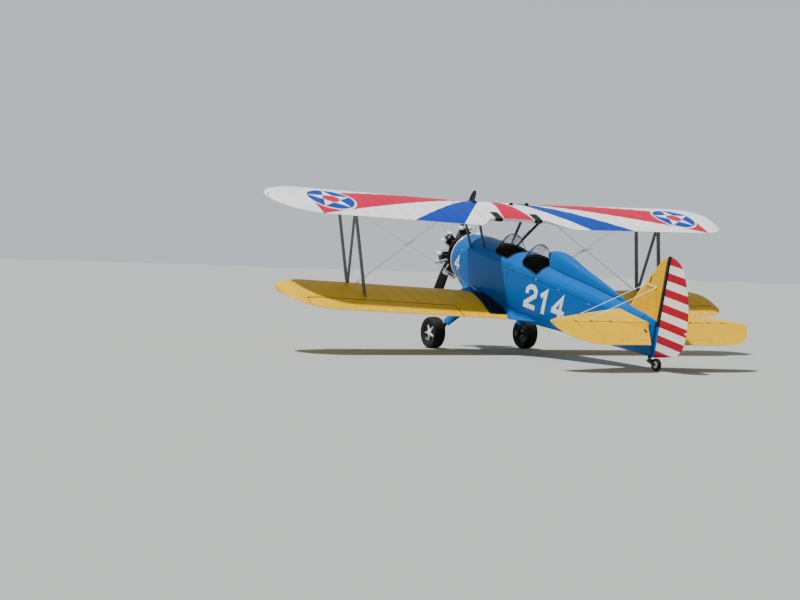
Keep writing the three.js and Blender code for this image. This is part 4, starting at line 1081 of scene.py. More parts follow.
def doped_fabric(name, paint, bay=BAY / 1000, tape=TAPE, under=None):
    """Gloss dope; paint is a colour or makes one from the node tree, the span in m and the share of chord,
    and under is the plain colour of the faces that look down."""
    material, tree, shader, place = finish(name, Roughness=0.42, Coat_Weight=0.06, Coat_Roughness=0.2,
                                           Specular_IOR_Level=0.14)
    skin = node(tree, "UVMap", uv_map="panel")
    along, share, _ = node(tree, "SeparateXYZ", {0: skin}).node.outputs
    span = node(tree, "Math", {0: along}, operation="ABSOLUTE")
    base = paint(tree, span, share) if callable(paint) else paint[:3]
    if under:
        facing = node(tree, "NewGeometry", out="True Normal")
        upward = node(tree, "VectorMath", {0: facing, 1: ABOVE}, "Value", operation="DOT_PRODUCT")
        base = coats(tree, base, (0.0, upward, under))
    drift = node(tree, "TexNoise", {"Vector": place, "Scale": 3.0, "Detail": 5.0})
    shade = node(tree, "MapRange", {0: drift, 1: 0.3, 2: 0.7, 3: 0.93, 4: 1.03})
    aged = node(tree, "VectorMath", {0: base, "Scale": shade}, operation="SCALE")
    to_rib = node(tree, "Math", {0: span, 1: bay}, operation="PINGPONG")
    near = node(tree, "Math", {0: to_rib, 1: bay / 2}, operation="SUBTRACT")
    apart = node(tree, "Math", {0: near}, operation="ABSOLUTE")
    on_tape = node(tree, "Math", {0: apart, 1: bay / 2 - tape}, operation="GREATER_THAN")
    # The tapes are drawn darker: partly the tape's own tone, partly painted shade along the ribs.
    tape_and_rib_shade = node(tree, "MapRange", {0: on_tape, 3: 1.0, 4: 0.92})
    toned = node(tree, "VectorMath", {0: aged, "Scale": tape_and_rib_shade}, operation="SCALE")
    threads = [node(tree, "TexWave", {"Vector": place, "Scale": 40.0, "Distortion": 0.6}, "Fac",
                    bands_direction=way) for way in "XY"]
    weave = node(tree, "Math", {0: threads[0], 1: threads[1]}, operation="MULTIPLY")
    raised = node(tree, "Math", {0: on_tape, 1: 1.5, 2: weave}, operation="MULTIPLY_ADD")
    surface(tree, shader, toned, raised, 0.25, 0.0006)
    return material


# Rays: three colours fan out from a point ahead of the upper wing's middle, and a roundel with a
# plain traditional star sits on each outer ray. Sprayed with masking tape, so every edge is crisp.
RAY_POINT = 0.163  # how far ahead of the leading edge the rays meet, as a share of the chord
RAYS = (0.14, 0.4806, 0.835, 2.70)  # chord shares per metre of span that part the rays
OUTER_RAY = {1: 0.2435, 2: -0.02}  # the outer red ray's rear edge: its lean and its share at the middle
TIP_LINE = {1: -0.045, 2: 4.25}  # where the outer ray ends: its lean and its place at the leading edge
ROUNDEL = dict(x=3.80, share=0.572, disc=0.432, ring=0.470, heart=0.157)
STAR_EDGE = (0.2245, 0.691)  # which way the edge faces that runs from a point of the star to the next notch
WHITE, RED, BLUE = colour("#f4f5f2"), colour("#cc1440"), colour("#0f3fa6")


def sunburst(tree, span, share):
    ahead = node(tree, "Math", {0: share, 1: RAY_POINT}, operation="ADD")
    steep = node(tree, "Math", {0: ahead, 1: span}, operation="DIVIDE")
    rear = node(tree, "Math", {0: span, **OUTER_RAY}, operation="MULTIPLY_ADD")
    end = node(tree, "Math", {0: share, **TIP_LINE}, operation="MULTIPLY_ADD")
    rays = coats(tree, WHITE, (steep, RAYS[0], RED), (share, rear, WHITE), (steep, RAYS[1], BLUE),
                 (steep, RAYS[2], WHITE), (steep, RAYS[3], RED), (span, end, WHITE))
    # The roundel, in metres from its middle; the angle counts from the point that faces forward
    out = node(tree, "Math", {0: span, 1: ROUNDEL["x"]}, operation="SUBTRACT")
    fore = node(tree, "Math", {0: share, 1: -CHORD / 1000, 2: ROUNDEL["share"] * CHORD / 1000},
                operation="MULTIPLY_ADD")
    both = node(tree, "CombineXYZ", {0: out, 1: fore})
    reach = node(tree, "VectorMath", {0: both}, "Value", operation="LENGTH")
    angle = node(tree, "Math", {0: out, 1: fore}, operation="ARCTAN2")
    fold = node(tree, "Math", {0: angle, 1: radians(36)}, operation="PINGPONG")
    along, aside = (node(tree, "Math", {0: fold}, operation=kind) for kind in ("COSINE", "SINE"))
    partly = node(tree, "Math", {0: along, 1: STAR_EDGE[0]}, operation="MULTIPLY")
    lean = node(tree, "Math", {0: aside, 1: STAR_EDGE[1], 2: partly}, operation="MULTIPLY_ADD")
    star = node(tree, "Math", {0: lean, 1: reach}, operation="MULTIPLY")
    return coats(tree, WHITE, (star, STAR_EDGE[0] * ROUNDEL["disc"], BLUE), (ROUNDEL["heart"], reach, RED),
                 (reach, ROUNDEL["disc"], WHITE), (reach, ROUNDEL["ring"], rays))


# The upper wing is made in three lengths, bolted end to end over the cabane, with a notch in the
# middle one over the rear cockpit so that its occupant can see up.
ray_fabric = doped_fabric("doped fabric with rays", sunburst, under=WHITE)
for word, side in SIDES:
    mesh_piece(f"upper_panel_{word}", mapped(wing_body(UPPER, side, CENTRE_HALF + 2)), [ray_fabric],
               [f"upper_wing_{word}"], place=in_wing(UPPER, side))
flat_upper = dict(UPPER, dihedral=0.0)
in_centre = in_wing(flat_upper, 1)
mesh_piece("centre_section", mapped(wing_body(flat_upper, 1, -CENTRE_HALF, CENTRE_HALF)), [ray_fabric],
           ["upper_wing_centre"], place=in_centre)


# On the upper wing: moulded rubber hand grips wrap the notch's rear edge, by which the crew climb in,
# and black filler caps stand over the tank in the centre section. The rubber is dull.
GRIP = dict(inner=352, outer=522, top=slice(19, 30), under=slice(30, 37), thick=11, proud=16)
CAP_PLACES = ((-240, 0.27), (-640, 0.22), (560, 0.24))  # x and share of the chord
CAP = [(-4, 52), (4, 52), (8, 34), (34, 34), (40, 28), (42, 4)]
grip_rubber = worn("moulded black rubber", "#0a0a0a", "#1b1b1b", 0.6, scale=25.0)
for word, side in SIDES:
    rings = []
    for x in steps(GRIP["inner"], GRIP["outer"], 8):
        section = notched(x, rib())
        edge = min(1.0, 6 * min(x - GRIP["inner"], GRIP["outer"] - x) / (GRIP["outer"] - GRIP["inner"])
                   + 0.35)
        over = [(y, z + GRIP["thick"] * edge) for y, z in section[GRIP["top"]]]
        under = [(y, z - GRIP["thick"] * edge) for y, z in section[GRIP["under"]]]
        rear = over[-1][0] + GRIP["proud"] * edge
        closing = [(rear, over[-1][1] - 8), (rear, under[0][1] + 8)]
        rings.append([(side * x, y, z) for y, z in over + closing + under])
    mesh_piece(f"hand_grip_{word}", mapped(loft(rings)), [grip_rubber], place=in_centre)
caps = [turned_body(CAP, (x, share * CHORD, section_at(share, 1, 0)[0]), (0, 0, 1), 24)
        for x, share in CAP_PLACES]
piece("filler_caps", merge(*caps), grip_rubber, place=in_centre)


# Lower wings: one yellow length on each side, with a bay cut for the aileron and a black walkway at
# the root, where a gritty paint keeps shoes from slipping.
AILERON = dict(inner=1490, outer=4420, hinge=0.745 * CHORD, height=22, cove=60, nose=46, play=6, sag=3.0)
GAP_SHADE_WIDTH = 16.0  # how wide the painted shade beside the aileron's gap is
WALK = (0.64, 0.90, 0.13, 0.90)  # span in metres at the leading and trailing edge, chord shares
YELLOW = colour("#e6b500")


def walkway(tree, span, share):
    edge = node(tree, "MapRange", {0: share, 1: 0.0, 2: 1.0, 3: WALK[0], 4: WALK[1]})
    paint = coats(tree, colour("#17181a"), (span, edge, YELLOW), (WALK[2], share, YELLOW),
                  (share, WALK[3], YELLOW))
    # Painted shade of the aileron's gap: a dark brown band along its hinge and its inner end
    front = (AILERON["hinge"] - AILERON["cove"] - GAP_SHADE_WIDTH) / CHORD + 0.037
    inner, outer = (AILERON["inner"] - GAP_SHADE_WIDTH) / 1000, AILERON["outer"] / 1000 + 0.01
    return coats(tree, colour("#2c1c04"), (front, share, paint), (inner, span, paint), (span, outer, paint))


def bay_tool(side):
    """The space of the aileron: a round cove along the hinge and everything behind it."""
    hinge, height, cove = AILERON["hinge"], AILERON["height"], AILERON["cove"]
    outline = [(hinge + cove * cos(t), height + cove * sin(t)) for t in steps(pi / 2, 3 * pi / 2, 20)]
    outline += [(CHORD + 60, height - cove - 100), (CHORD + 60, height + cove + 100)]
    return mapped(block(outline, side * AILERON["inner"], side * AILERON["outer"], 0))


walk_fabric = doped_fabric("doped fabric with walkway", walkway, under=YELLOW)
yellow_fabric = doped_fabric("doped yellow fabric", YELLOW)
for word, side in SIDES:
    whole = mapped(wing_body(LOWER, side, 430))
    mesh_piece(f"lower_panel_{word}", carved(whole, bay_tool(side)), [walk_fabric],
               [f"lower_wing_{word}"], place=in_wing(LOWER, side))


# Ailerons: narrow fabric-covered flaps on the lower wings' trailing edge, each with a rounded nose
# that turns in the cove.
def aileron_body(side):
    hinge, nose, play = AILERON["hinge"], AILERON["nose"], AILERON["play"]
    rings = []
    for x in steps(AILERON["inner"] + play, AILERON["outer"] - play, 85):
        size, thin = tip_share(LOWER, x)
        front = ROUND_FRONT * (1 - size) * CHORD
        sag = AILERON["sag"] * (1 - cos(2 * pi * x / BAY)) / 2
        first = (hinge + 8 - front) / (CHORD * size)
        shares = [first + (1 - first) * t for t in (0, 0.08, 0.2, 0.35, 0.5, 0.65, 0.8, 0.92, 1)]
        heights = [section_at(s, thin, sag) for s in shares]
        middle, half = sum(heights[0]) / 2, (heights[0][0] - heights[0][1]) / 2
        arc = [(hinge + nose * cos(t), middle + half * sin(t))
               for t in steps(3 * pi / 2 - 0.02, pi / 2 + 0.02, 14)]
        top = [(front + s * CHORD * size, high) for s, (high, _) in zip(shares, heights)]
        under = [(front + s * CHORD * size, low) for s, (_, low) in zip(shares, heights)]
        rings.append([(side * x, y, z) for y, z in arc + top + under[::-1]])
    return loft(rings)


for word, side in SIDES:
    mesh_piece(f"aileron_skin_{word}", mapped(aileron_body(side)), [yellow_fabric],
               [f"aileron_{word}"], f"aileron_{word}", in_wing(LOWER, side))


# Struts between the wings: streamlined steel tube, painted dark grey, in an N on each side, with
# forked ends pinned to the spars. The cabane over the fuselage is painted dark blue.
STRUT_X, STRUT_TOP_X, FRONT_SPAR, REAR_SPAR = 3235, 3350, 0.16, 0.65
CABANE_X, CABANE_REAR = 715, 0.56
STRUT, STRUT_DIAGONAL, CABANE, CABANE_TIE = (104, 42), (84, 34), (78, 34), (12, 6)  # chord and thickness
CABANE_FEET = ((425, 1335, 282), (345, 1640, 400))
FORK = dict(back=40, on=42, sizes=(84, 50, 60, 46))
strut_grey = worn("dark grey enamel on steel tube", "#4a504b", "#656c66", 0.35, scale=8.0)  # half gloss
navy_paint = worn("dark blue enamel on steel tube", "#0c1530", "#1a2748", 0.3, scale=8.0)  # nearly black
plated = worn("cadmium-plated steel", "#8d8f8c", "#c4c5c0", 0.35, metal=0.8)  # a grey, soft metal shine


def wing_spot(wing, side, x, share, z):
    """A point of a wing's own axes, at a share of its chord, in the aircraft's level axes in mm."""
    return wing_axes(wing, side) @ Vector((side * x, share * CHORD, z))


def streamlined(start, end, chord, thick, end_chord=None, end_thick=None, sides=28, rings=2):
    """A bar with a teardrop section, blunt in front, its long side lying fore and aft."""
    a, b = Vector(start), Vector(end)
    along = (b - a).normalized()
    aft = (Vector((0, 1, 0)) - along * along.y).normalized()
    aside = along.cross(aft)
    made = []
    for t in steps(0, 1, rings):
        long = aft * (chord + ((end_chord or chord) - chord) * t) / 2
        wide = aside * (thick + ((end_thick or thick) - thick) * t) / 2
        made.append([tuple(a.lerp(b, t) + long * cos(angle) + wide * sin(angle) * (1 - 0.22 * cos(angle)))
                     for angle in turn(sides)])
    return loft(made)


for word, side in SIDES:
    foot = [wing_spot(LOWER, side, STRUT_X, share, 30) for share in (FRONT_SPAR, REAR_SPAR)]
    head = [wing_spot(UPPER, side, STRUT_TOP_X, share, 10) for share in (FRONT_SPAR, REAR_SPAR)]
    bars = merge(streamlined(foot[0], head[0], *STRUT), streamlined(foot[1], head[1], *STRUT),
                 streamlined(foot[0], head[1], *STRUT_DIAGONAL))
    piece(f"interplane_bars_{word}", bars, strut_grey, [f"interplane_struts_{word}"])
    forks = []
    for low, high in zip(foot, head):
        for p, q, gap in ((low, high, 88), (high, low, 92)):
            way = (q - p).normalized()
            forks.append(streamlined(p + way * (gap - FORK["back"]), p + way * (gap + FORK["on"]),
                                     *FORK["sizes"], 16))
    piece(f"strut_forks_{word}", merge(*forks), plated, sharp=40)

    feet = [Vector((side * x, y, z)) for x, y, z in CABANE_FEET]
    tops = [wing_spot(UPPER, side, CABANE_X, share, 10) for share in (FRONT_SPAR, CABANE_REAR)]
    ties = streamlined(feet[0].lerp(tops[0], 0.12), feet[1].lerp(tops[1], 0.9), *CABANE_TIE, sides=10)
    bars = merge(streamlined(feet[0], tops[0], *CABANE), streamlined(feet[1], tops[1], *CABANE), ties)
    piece(f"cabane_bars_{word}", bars, navy_paint, [f"cabane_struts_{word}"])


# Bracing wires: drawn steel rods rolled to a streamlined section, run in pairs from wing to wing with
# forked screw ends; a slim stick ties each crossing so that the wires can't hum.
WIRE, WIRE_APART = (16, 9), 28  # chord and thickness, and how far each stands from the pair's middle
SCREW_END = [(0, 8), (70, 8), (76, 6.5), (110, 6), (118, 4)]
# the lifting wires' foot, and how far inboard of the struts they end
WIRE_FOOT, WIRE_IN = (490, 1860, -395), 90
HEAD_BELOW, CROWN_BELOW, FOOT_ABOVE = (0, 40, -90), (0, 190, -80), (0, 90, 75)  # from the spars to the ends
CROWN_OUT = 325
STICK_REACH, STICK_SIZES = 165, [6, 17, 17, 6]
wire_steel = worn("stainless wire", "#dcdedc", "#ffffff", 0.35, metal=0.1)  # near white: a painted reflection of the sky on polished steel
stick_white = worn("white enamel on turned ash", "#dcdcd6", "#ffffff", 0.4)  # smooth and chalky white


def wire_pair(a, b):
    parts = []
    for y in (-WIRE_APART, WIRE_APART):
        p, q = (a.lerp(b, t) + Vector((0, y, 0)) for t in (0.01, 0.99))
        parts.append(streamlined(p, q, *WIRE, sides=10))
        parts += [turned_body(SCREW_END, s, t - s, 8) for s, t in ((p, q), (q, p))]
    for s, t in ((0.012, 0.03), (0.97, 0.988)):
        parts.append(streamlined(a.lerp(b, s), a.lerp(b, t), 2 * WIRE_APART + 24, 10, sides=12))
    return merge(*parts)


for word, side in SIDES:
    low = Vector((side * WIRE_FOOT[0], *WIRE_FOOT[1:]))
    head = wing_spot(UPPER, side, STRUT_TOP_X - WIRE_IN, FRONT_SPAR, 10) + Vector(HEAD_BELOW)
    crown = wing_spot(UPPER, side, CABANE_X + CROWN_OUT, FRONT_SPAR, 10) + Vector(CROWN_BELOW)
    foot = wing_spot(LOWER, side, STRUT_X - WIRE_IN, FRONT_SPAR, 30) + Vector(FOOT_ABOVE)
    piece(f"lifting_wires_{word}", wire_pair(low, head), wire_steel, [f"flying_wires_{word}"])
    piece(f"landing_wire_rods_{word}", wire_pair(crown, foot), wire_steel,
          [f"landing_wires_{word}"])
    near, other = intersect_line_line(low, head, crown, foot)
    way = (near - other).normalized() * STICK_REACH
    stick = sweep([near + way, near, other, other - way], STICK_SIZES, 14)
    piece(f"wire_stick_{word}", stick, stick_white)


# Root fairings: aluminium sheet beaten to shape and painted like the fuselage. A glove swells ahead of
# each lower wing's root; one fillet rises above it and one behind runs out past the trailing edge.
GLOVE = dict(inner=330, outer=850, ahead=0.22, back=0.17)
# y, the edge's x and z (none: on the wing), and the top
FRONT_FILLET = ((1220, 430, -385, -364), (1350, 510, -455, -370), (1500, 590, -490, -382),
                (1640, 650, -500, -398), (1800, 560, None, -425), (1950, 450, None, -440))
REAR_FILLET = ((2740, 425, None, -445), (2900, 470, None, -430), (3020, 520, None, -420),
               (3140, 562, None, -412), (3330, 500, -578, -405), (3520, 420, -542, -402),
               (3700, 362, -506, -445))


def wing_top(x, y):
    """The height of the lower wing's top at x and y."""
    share = (y - LOWER["le"]) / CHORD
    return wing_spot(LOWER, 1, x, share, section_at(share, 1, 0)[0]).z + 3


def fillet(name, side, rows):
    """A hollow skin between the fuselage and an outer edge."""
    rows = [(y, x, wing_top(x, y) if z is None else z, top) for y, x, z, top in rows]
    rings = []
    for y in steps(rows[0][0], rows[-1][0], 20):
        _, reach, low, high = row_at(rows, y)
        edge = Vector((side * max(reach, side_x(y, low, 6)), y, low))
        corner = Vector((side * side_x(y, low, 3), y, low + 2))
        top = Vector((side * side_x(y, high, 3), y, high))
        curve = [edge.lerp(corner, t).lerp(corner.lerp(top, t), t) for t in steps(0, 1, 14)]
        inside = side * (side_x(y, low) - 25)
        rings.append([tuple(p) for p in curve] + [(inside, y, high), (inside, y, low - 14),
                                                  (edge.x, y, low - 9)])
    piece(name, loft(rings), blue_enamel, sharp=50)


for word, side in SIDES:
    rings = []
    back = GLOVE["back"]
    high, low = section_at(back, 1, 0)
    for t, x in zip(steps(0, 1, 14), steps(GLOVE["inner"], GLOVE["outer"], 14)):
        front = -GLOVE["ahead"] * (1 - t) ** 1.2 + 0.03 * t
        middle, half = (high + low) / 2, ((high - low) / 2 + 3) * (1 - 0.25 * t ** 4)
        rings.append([(side * x, (back - (back - front) * cos(a)) * CHORD, middle + half * sin(a))
                      for a in steps(pi / 2, -pi / 2, 22)])
    mesh_piece(f"root_glove_{word}", mapped(loft(rings)), [blue_enamel],
               place=in_wing(LOWER, side))
    fillet(f"front_fillet_{word}", side, FRONT_FILLET)
    fillet(f"rear_fillet_{word}", side, REAR_FILLET)


# Tip lamps: a small teardrop of moulded glass on each upper wing tip, red to port and green to
# starboard. Unlit it looks dark and wet.
LAMP = dict(x=4868, share=0.40, z=34, body=[(-52, 3), (-40, 13), (-12, 17), (16, 15), (30, 9), (36, 2)])
for (word, side), code in zip(SIDES, ("#8a0c10", "#0b6a34")):
    glass = worn(f"coloured lamp glass {word}", code, code, 0.15)
    lamp = turned_body(LAMP["body"], (side * LAMP["x"], LAMP["share"] * CHORD, LAMP["z"]), (0, 1, 0), 18)
    piece(f"tip_lamp_{word}", lamp, glass, place=in_wing(UPPER, side))


# Landing gear: a single faired leg on each side, blue, with a black leather boot over the shock
# strut below it, and a forged knuckle that holds the axle.
WHEEL = dict(x=1045, y=1413, z=-1338, radius=300, width=244, rim=168)
LEG = dict(top=(335, 1640, -590), foot=(860, 1525, -1125), sizes=(340, 130, 250, 84))
AXLE_ROOT = 862  # where the axle leaves the knuckle
BOOT = dict(start=-0.08, end=0.62, folds=15, radius=32, taper=8, fold=4)
knuckle_black = worn("black enamel on a forging", "#0c0d0e", "#242628", 0.4)  # thick, with soft highlights
boot_leather = grained("black leather boot", "#101010", "#242220")  # dull, scuffed grey on its folds
for word, side in SIDES:
    top, foot = (Vector((side * p[0], p[1], p[2])) for p in (LEG["top"], LEG["foot"]))
    fairing = streamlined(top, foot, *LEG["sizes"], sides=40, rings=6)
    piece(f"leg_fairing_{word}", fairing, blue_enamel, [f"gear_leg_{word}"])
    axle_at = Vector((side * AXLE_ROOT, WHEEL["y"], WHEEL["z"]))
    reach = (foot - axle_at).length
    folds = [(reach * t, BOOT["radius"] - BOOT["taper"] * t - (BOOT["fold"] if k % 2 else 0))
             for k, t in enumerate(steps(BOOT["start"], BOOT["end"], BOOT["folds"]))]
    boot = turned_body(folds, foot, axle_at - foot, 28)
    piece(f"leg_boot_{word}", boot, boot_leather, sharp=70)
    inner = WHEEL["x"] - WHEEL["width"] / 2 - 10
    hub_at, out = Vector((0, WHEEL["y"], WHEEL["z"])), (side, 0, 0)
    parts = [turned_body([(835, 40), (840, 50), (inner - 4, 52), (inner, 48)], hub_at, out, 28),
             sweep([foot.lerp(axle_at, 0.3), foot.lerp(axle_at, 0.7), axle_at], [17, 17, 30], 20),
             turned_body([(850, 27), (1116, 27), (1123, 22)], hub_at, out)]
    piece(f"knuckle_{word}", merge(*parts), knuckle_black)


# Main wheels: cast wheels painted black with five bright arms, a brake drum inside, and a smooth
# balloon tyre with three grooves round its tread.
GROOVES, GROOVE_HALF, GROOVE_DEEP = (-34, 0, 34), 3.2, 5.0
DISC = [(28, 70), (62, 70), (74, 60), (92, 44), (140, 40), (154, 48), (160, 80), (167, 86), (172, 82),
        (169, 66), (166, -58), (171, -66), (168, -70), (158, -66), (150, -40), (96, -36), (70, -60),
        (28, -62), (28, 62)]
ARM = ((40, 28, 84), (70, 19, 84), (110, 14, 80), (150, 17, 78), (156, 14, 70))  # reach, half width and face
ARM_EDGE = ((-1, -18), (-0.8, 0), (-0.25, 7), (0.25, 7), (0.8, 0), (1, -18))
ARMS, ARM_START = 5, 0.3 + pi / 5
CAP_BODY = [(70, 46), (88, 46), (96, 40), (100, 20), (101, 2)]
NUT_RING, NUT_START = 54, 0.3
rubber = worn("tyre rubber", "#0a0a0b", "#18181a", 0.8, scale=30.0)  # dull and nearly black
wheel_black = worn("black enamel on a cast wheel", "#0b0b0c", "#1e1f21", 0.35)  # half gloss


def wheel_disc(profile, at, side, sides=72):
    """A ring turned once round the axle through at; the profile is (radius, distance outwards)."""
    rings = [[(at[0] + side * x, at[1] + r * cos(a), at[2] + r * sin(a)) for r, x in profile]
             for a in steps(0, 2 * pi, sides + 1)]
    return loft(rings, capped=False)


def tyre_body(radius, width, rim, at, grooves, sides=96):
    """A tyre round the axle through at: a round carcass with grooves in its tread."""
    half = width / 2
    bead = rim + 0.12 * (radius - rim)
    profile = [(rim, -0.6 * half), (bead, -0.8 * half)]
    for a in steps(-1.5, 1.5, 61):
        x = half * sin(a)
        drop = (radius - rim) * 0.5 * (1 - abs(cos(a)) ** 0.42)
        cut = GROOVE_DEEP if any(abs(x - g) < GROOVE_HALF for g in grooves) else 0.0
        profile.append((radius - drop - cut, x * 0.98))
    return wheel_disc(profile + [(bead, 0.8 * half), (rim, 0.6 * half)], at, 1, sides)


def star_arm(index, at, side):
    """One raised arm of the wheel's five-armed star, waisted towards the rim."""
    a = 2 * pi * index / ARMS + ARM_START
    out, beside = Vector((0, cos(a), sin(a))), Vector((0, -sin(a), cos(a)))
    return loft([[tuple(Vector(at) + out * reach + beside * u * wide + Vector((side * (face + v), 0, 0)))
                  for u, v in ARM_EDGE] for reach, wide, face in ARM])


for word, side in SIDES:
    at, body = (side * WHEEL["x"], WHEEL["y"], WHEEL["z"]), f"wheel_{word}"
    tyre = tyre_body(WHEEL["radius"], WHEEL["width"], WHEEL["rim"], at, GROOVES)
    piece(f"tyre_carcass_{word}", tyre, rubber, [f"tyre_{word}"], body, 40)
    piece(f"wheel_disc_{word}", wheel_disc(DISC, at, side), wheel_black, [f"wheel_{word}"],
          body, 40)
    star = [star_arm(k, at, side) for k in range(ARMS)] + [turned_body(CAP_BODY, at, (side, 0, 0), 28)]
    for k in range(ARMS):
        b = NUT_START + 2 * pi * k / ARMS
        nut_at = (at[0], at[1] + NUT_RING * cos(b), at[2] + NUT_RING * sin(b))
        star.append(turned_body([(80, 7), (96, 7)], nut_at, (side, 0, 0), 6))
    piece(f"wheel_star_{word}", merge(*star), bright_alloy, body=body)


# Stabiliser: a fixed tail surface in halves, ribs and spars under doped yellow fabric, its leading
# edge rounded by a steel tube.
TAIL_Y, TAIL_Z = 6494, 185  # the elevators' hinge line
STABILISER = dict(half=1960, root=5640, tip=6330, incidence=radians(4), thick=31, end=TAIL_Y - 39, sag=3.0)
STABILISER_PLAN = ((0, 0, 1), (0.5, 0.5, 1), (0.82, 0.83, 0.85), (0.93, 0.95, 0.6), (0.985, 1.06, 0.4),
                   (1, 1.16, 0.3))
TAIL_BAY, TAIL_TAPE = 245.0, 0.02  # from rib to rib in mm, and half a tape's width in m


def plan_at(plan, share):
    """The columns of a plan at a share of its first column, straight between its rows."""
    for a, b in zip(plan, plan[1:]):
        if share <= b[0]:
            break
    t = min(1, max(0, (share - a[0]) / (b[0] - a[0])))
    return [p + (q - p) * t for p, q in zip(a, b)]


def flat_rib(front, back, half, end_half, sunk):
    """A thin symmetric section: round at the front, slowly thinner to its end."""
    top = []
    for t in steps(0, 1, 12):
        s = t ** 1.8
        bulge = sqrt(min(1, s / 0.16) * (2 - min(1, s / 0.16)))
        z = half * bulge if s < 0.45 else half + (end_half - half) * (s - 0.45) / 0.55
        z -= sunk * min(1, s / 0.15) * min(1, (1 - s) / 0.1)
        top.append((front + s * (back - front), max(1.2, z)))
    return top + [(y, -z) for y, z in reversed(top)]


def tilted(y, z, lean):
    """Turns a point of a tail surface about the hinge line, its rear end downwards."""
    return TAIL_Y + y * cos(lean) + z * sin(lean), TAIL_Z - y * sin(lean) + z * cos(lean)


def in_stabiliser(x, y, z):
    return level(x, *tilted(y - TAIL_Y, z, STABILISER["incidence"]))


def sagging(x, bay, depth):
    return depth * (1 - cos(2 * pi * x / bay)) / 2


def out_to(tip, start, count):
    """Places along a span from nine tenths of it to its tip, closer and closer."""
    return [tip * (1 - 0.1 * (1 - sin(a))) for a in steps(start, pi / 2, count)]


tail_fabric = doped_fabric("doped yellow fabric on the tail", YELLOW, TAIL_BAY / 1000, TAIL_TAPE)
span = STABILISER["half"]
for word, side in SIDES:
    rings = []
    for x in steps(60, 0.9 * span, 60) + out_to(span, 0.12, 14):
        _, swept, thick = plan_at(STABILISER_PLAN, x / span)
        front = STABILISER["root"] + swept * (STABILISER["tip"] - STABILISER["root"])
        half, end = STABILISER["thick"] * thick, max(front + 30, STABILISER["end"])
        section = flat_rib(front, end, half, half * 0.9, sagging(x, TAIL_BAY, STABILISER["sag"]))
        rings.append([(side * x, y, z) for y, z in section])
    mesh_piece(f"stabiliser_skin_{word}", mapped(loft(rings)), [tail_fabric],
               [f"stabiliser_{word}"], place=in_stabiliser)


# Elevators: two fabric-covered flaps that droop together to their lower stop, joined by a steel
# tube through the tail. Each has a trim tab of sheet metal let into its trailing edge.
ELEVATOR = dict(droop=radians(23.5), chord=537, nose=27, sag=2.5, root=92, full=350)
ELEVATOR_PLAN = ((0.047, 0.02), (0.113, 0.5), (0.179, 1), (0.25, 1), (0.6, 1), (0.72, 0.95), (0.83, 0.8),
                 (0.91, 0.6), (0.96, 0.4), (0.99, 0.2), (1, 0.09))  # share of the span, share of the chord


def moving_rib(back, nose, end_half, sunk):
    """A flap's section from its hinge at zero: a round nose and straight sides to a thin end."""
    arc = [(nose * cos(a), nose * sin(a)) for a in steps(pi, pi / 2, 9)]
    run = max(back, nose * 1.2)
    straight = [(run * s, nose + (end_half - nose) * s - sunk * 4 * s * (1 - s)) for s in steps(0, 1, 9)[1:]]
    top = [(y, max(1.2, z)) for y, z in arc + straight]
    return top + [(y, -z) for y, z in reversed(top)]


def in_elevator(x, y, z):
    return level(x, *tilted(y, z, ELEVATOR["droop"]))


stations = steps(ELEVATOR["root"], ELEVATOR["full"], 12)[:-1]
stations += steps(ELEVATOR["full"], 0.9 * span, 50) + out_to(span, 0.1, 16)
for word, side in SIDES:
    rings = []
    for x in stations:
        chord = plan_at(ELEVATOR_PLAN, x / span)[1] * ELEVATOR["chord"]
        thin = 1 if x < 0.93 * span else 0.6 + 0.4 * max(0, (0.97 * span - x) / (0.04 * span))
        section = moving_rib(chord, ELEVATOR["nose"] * thin, 2.5, sagging(x, TAIL_BAY, ELEVATOR["sag"]))
        rings.append([(side * x, y, z) for y, z in section])
    mesh_piece(f"elevator_skin_{word}", mapped(loft(rings)), [tail_fabric],
               [f"elevator_{word}"], "elevators", in_elevator)


# Fin: an upright surface of doped fabric over steel ribs, yellow like the wings, bolted to the tail
# post and to the top of the fuselage.
FIN = ((250, 5790), (409, 5874), (607, 5992), (961, 6258), (1172, 6428), (1280, 6512), (1325, 6560),
       (1338, 6580))
# its rear edge, where its round top begins, and how high that is
FIN_END, FIN_FULL, FIN_ROUND = 6616, 1240, 98
FIN_THICK, FIN_SAG, FIN_BAY = 27, 2.0, 230


def sideways(x, y, z):
    """Places a surface drawn lying down so that it stands up: its span is height."""
    return level(z, y, x)


rings = []
for z in steps(FIN[0][0], FIN_FULL, 40) + [FIN_FULL + FIN_ROUND * sin(a) for a in steps(0.15, pi / 2, 12)]:
    half = FIN_THICK * min(1, (1400 - z) / 160)
    section = flat_rib(plan_at(FIN, z)[1], FIN_END, half, min(half, 25), sagging(z, FIN_BAY, FIN_SAG))
    rings.append([(z, y, x) for y, x in section])
mesh_piece("fin_skin", mapped(loft(rings)), [tail_fabric], ["fin"], place=sideways)


# Rudder: fabric over steel ribs, painted in thirteen red and white stripes behind a dark blue band
# along its hinge; the band's foot takes the fuselage's lighter blue as painted sunlight.
RUDDER = dict(y=6652, nose=26, foot=-322, full=1200, top=1353, sag=2.0, bay=260)
RUDDER_EDGE = ((-322, 6690), (-267, 6879), (-182, 7156), (-140, 7232), (-40, 7318), (50, 7358), (171, 7368),
               (315, 7364), (498, 7340), (690, 7298), (850, 7241), (1003, 7158), (1129, 7081),
               (1238, 6993), (1298, 6911), (1333, 6810), (1353, 6692))
STRIPES = 13
STRIPE = (RUDDER["top"] - RUDDER["foot"]) / 1000 / STRIPES  # how high each is, in m
BAND, BAND_LIT_FOOT = 0.085, 0.19  # how wide the dark band behind the hinge is, and where it turns to the lighter blue of painted sunlight
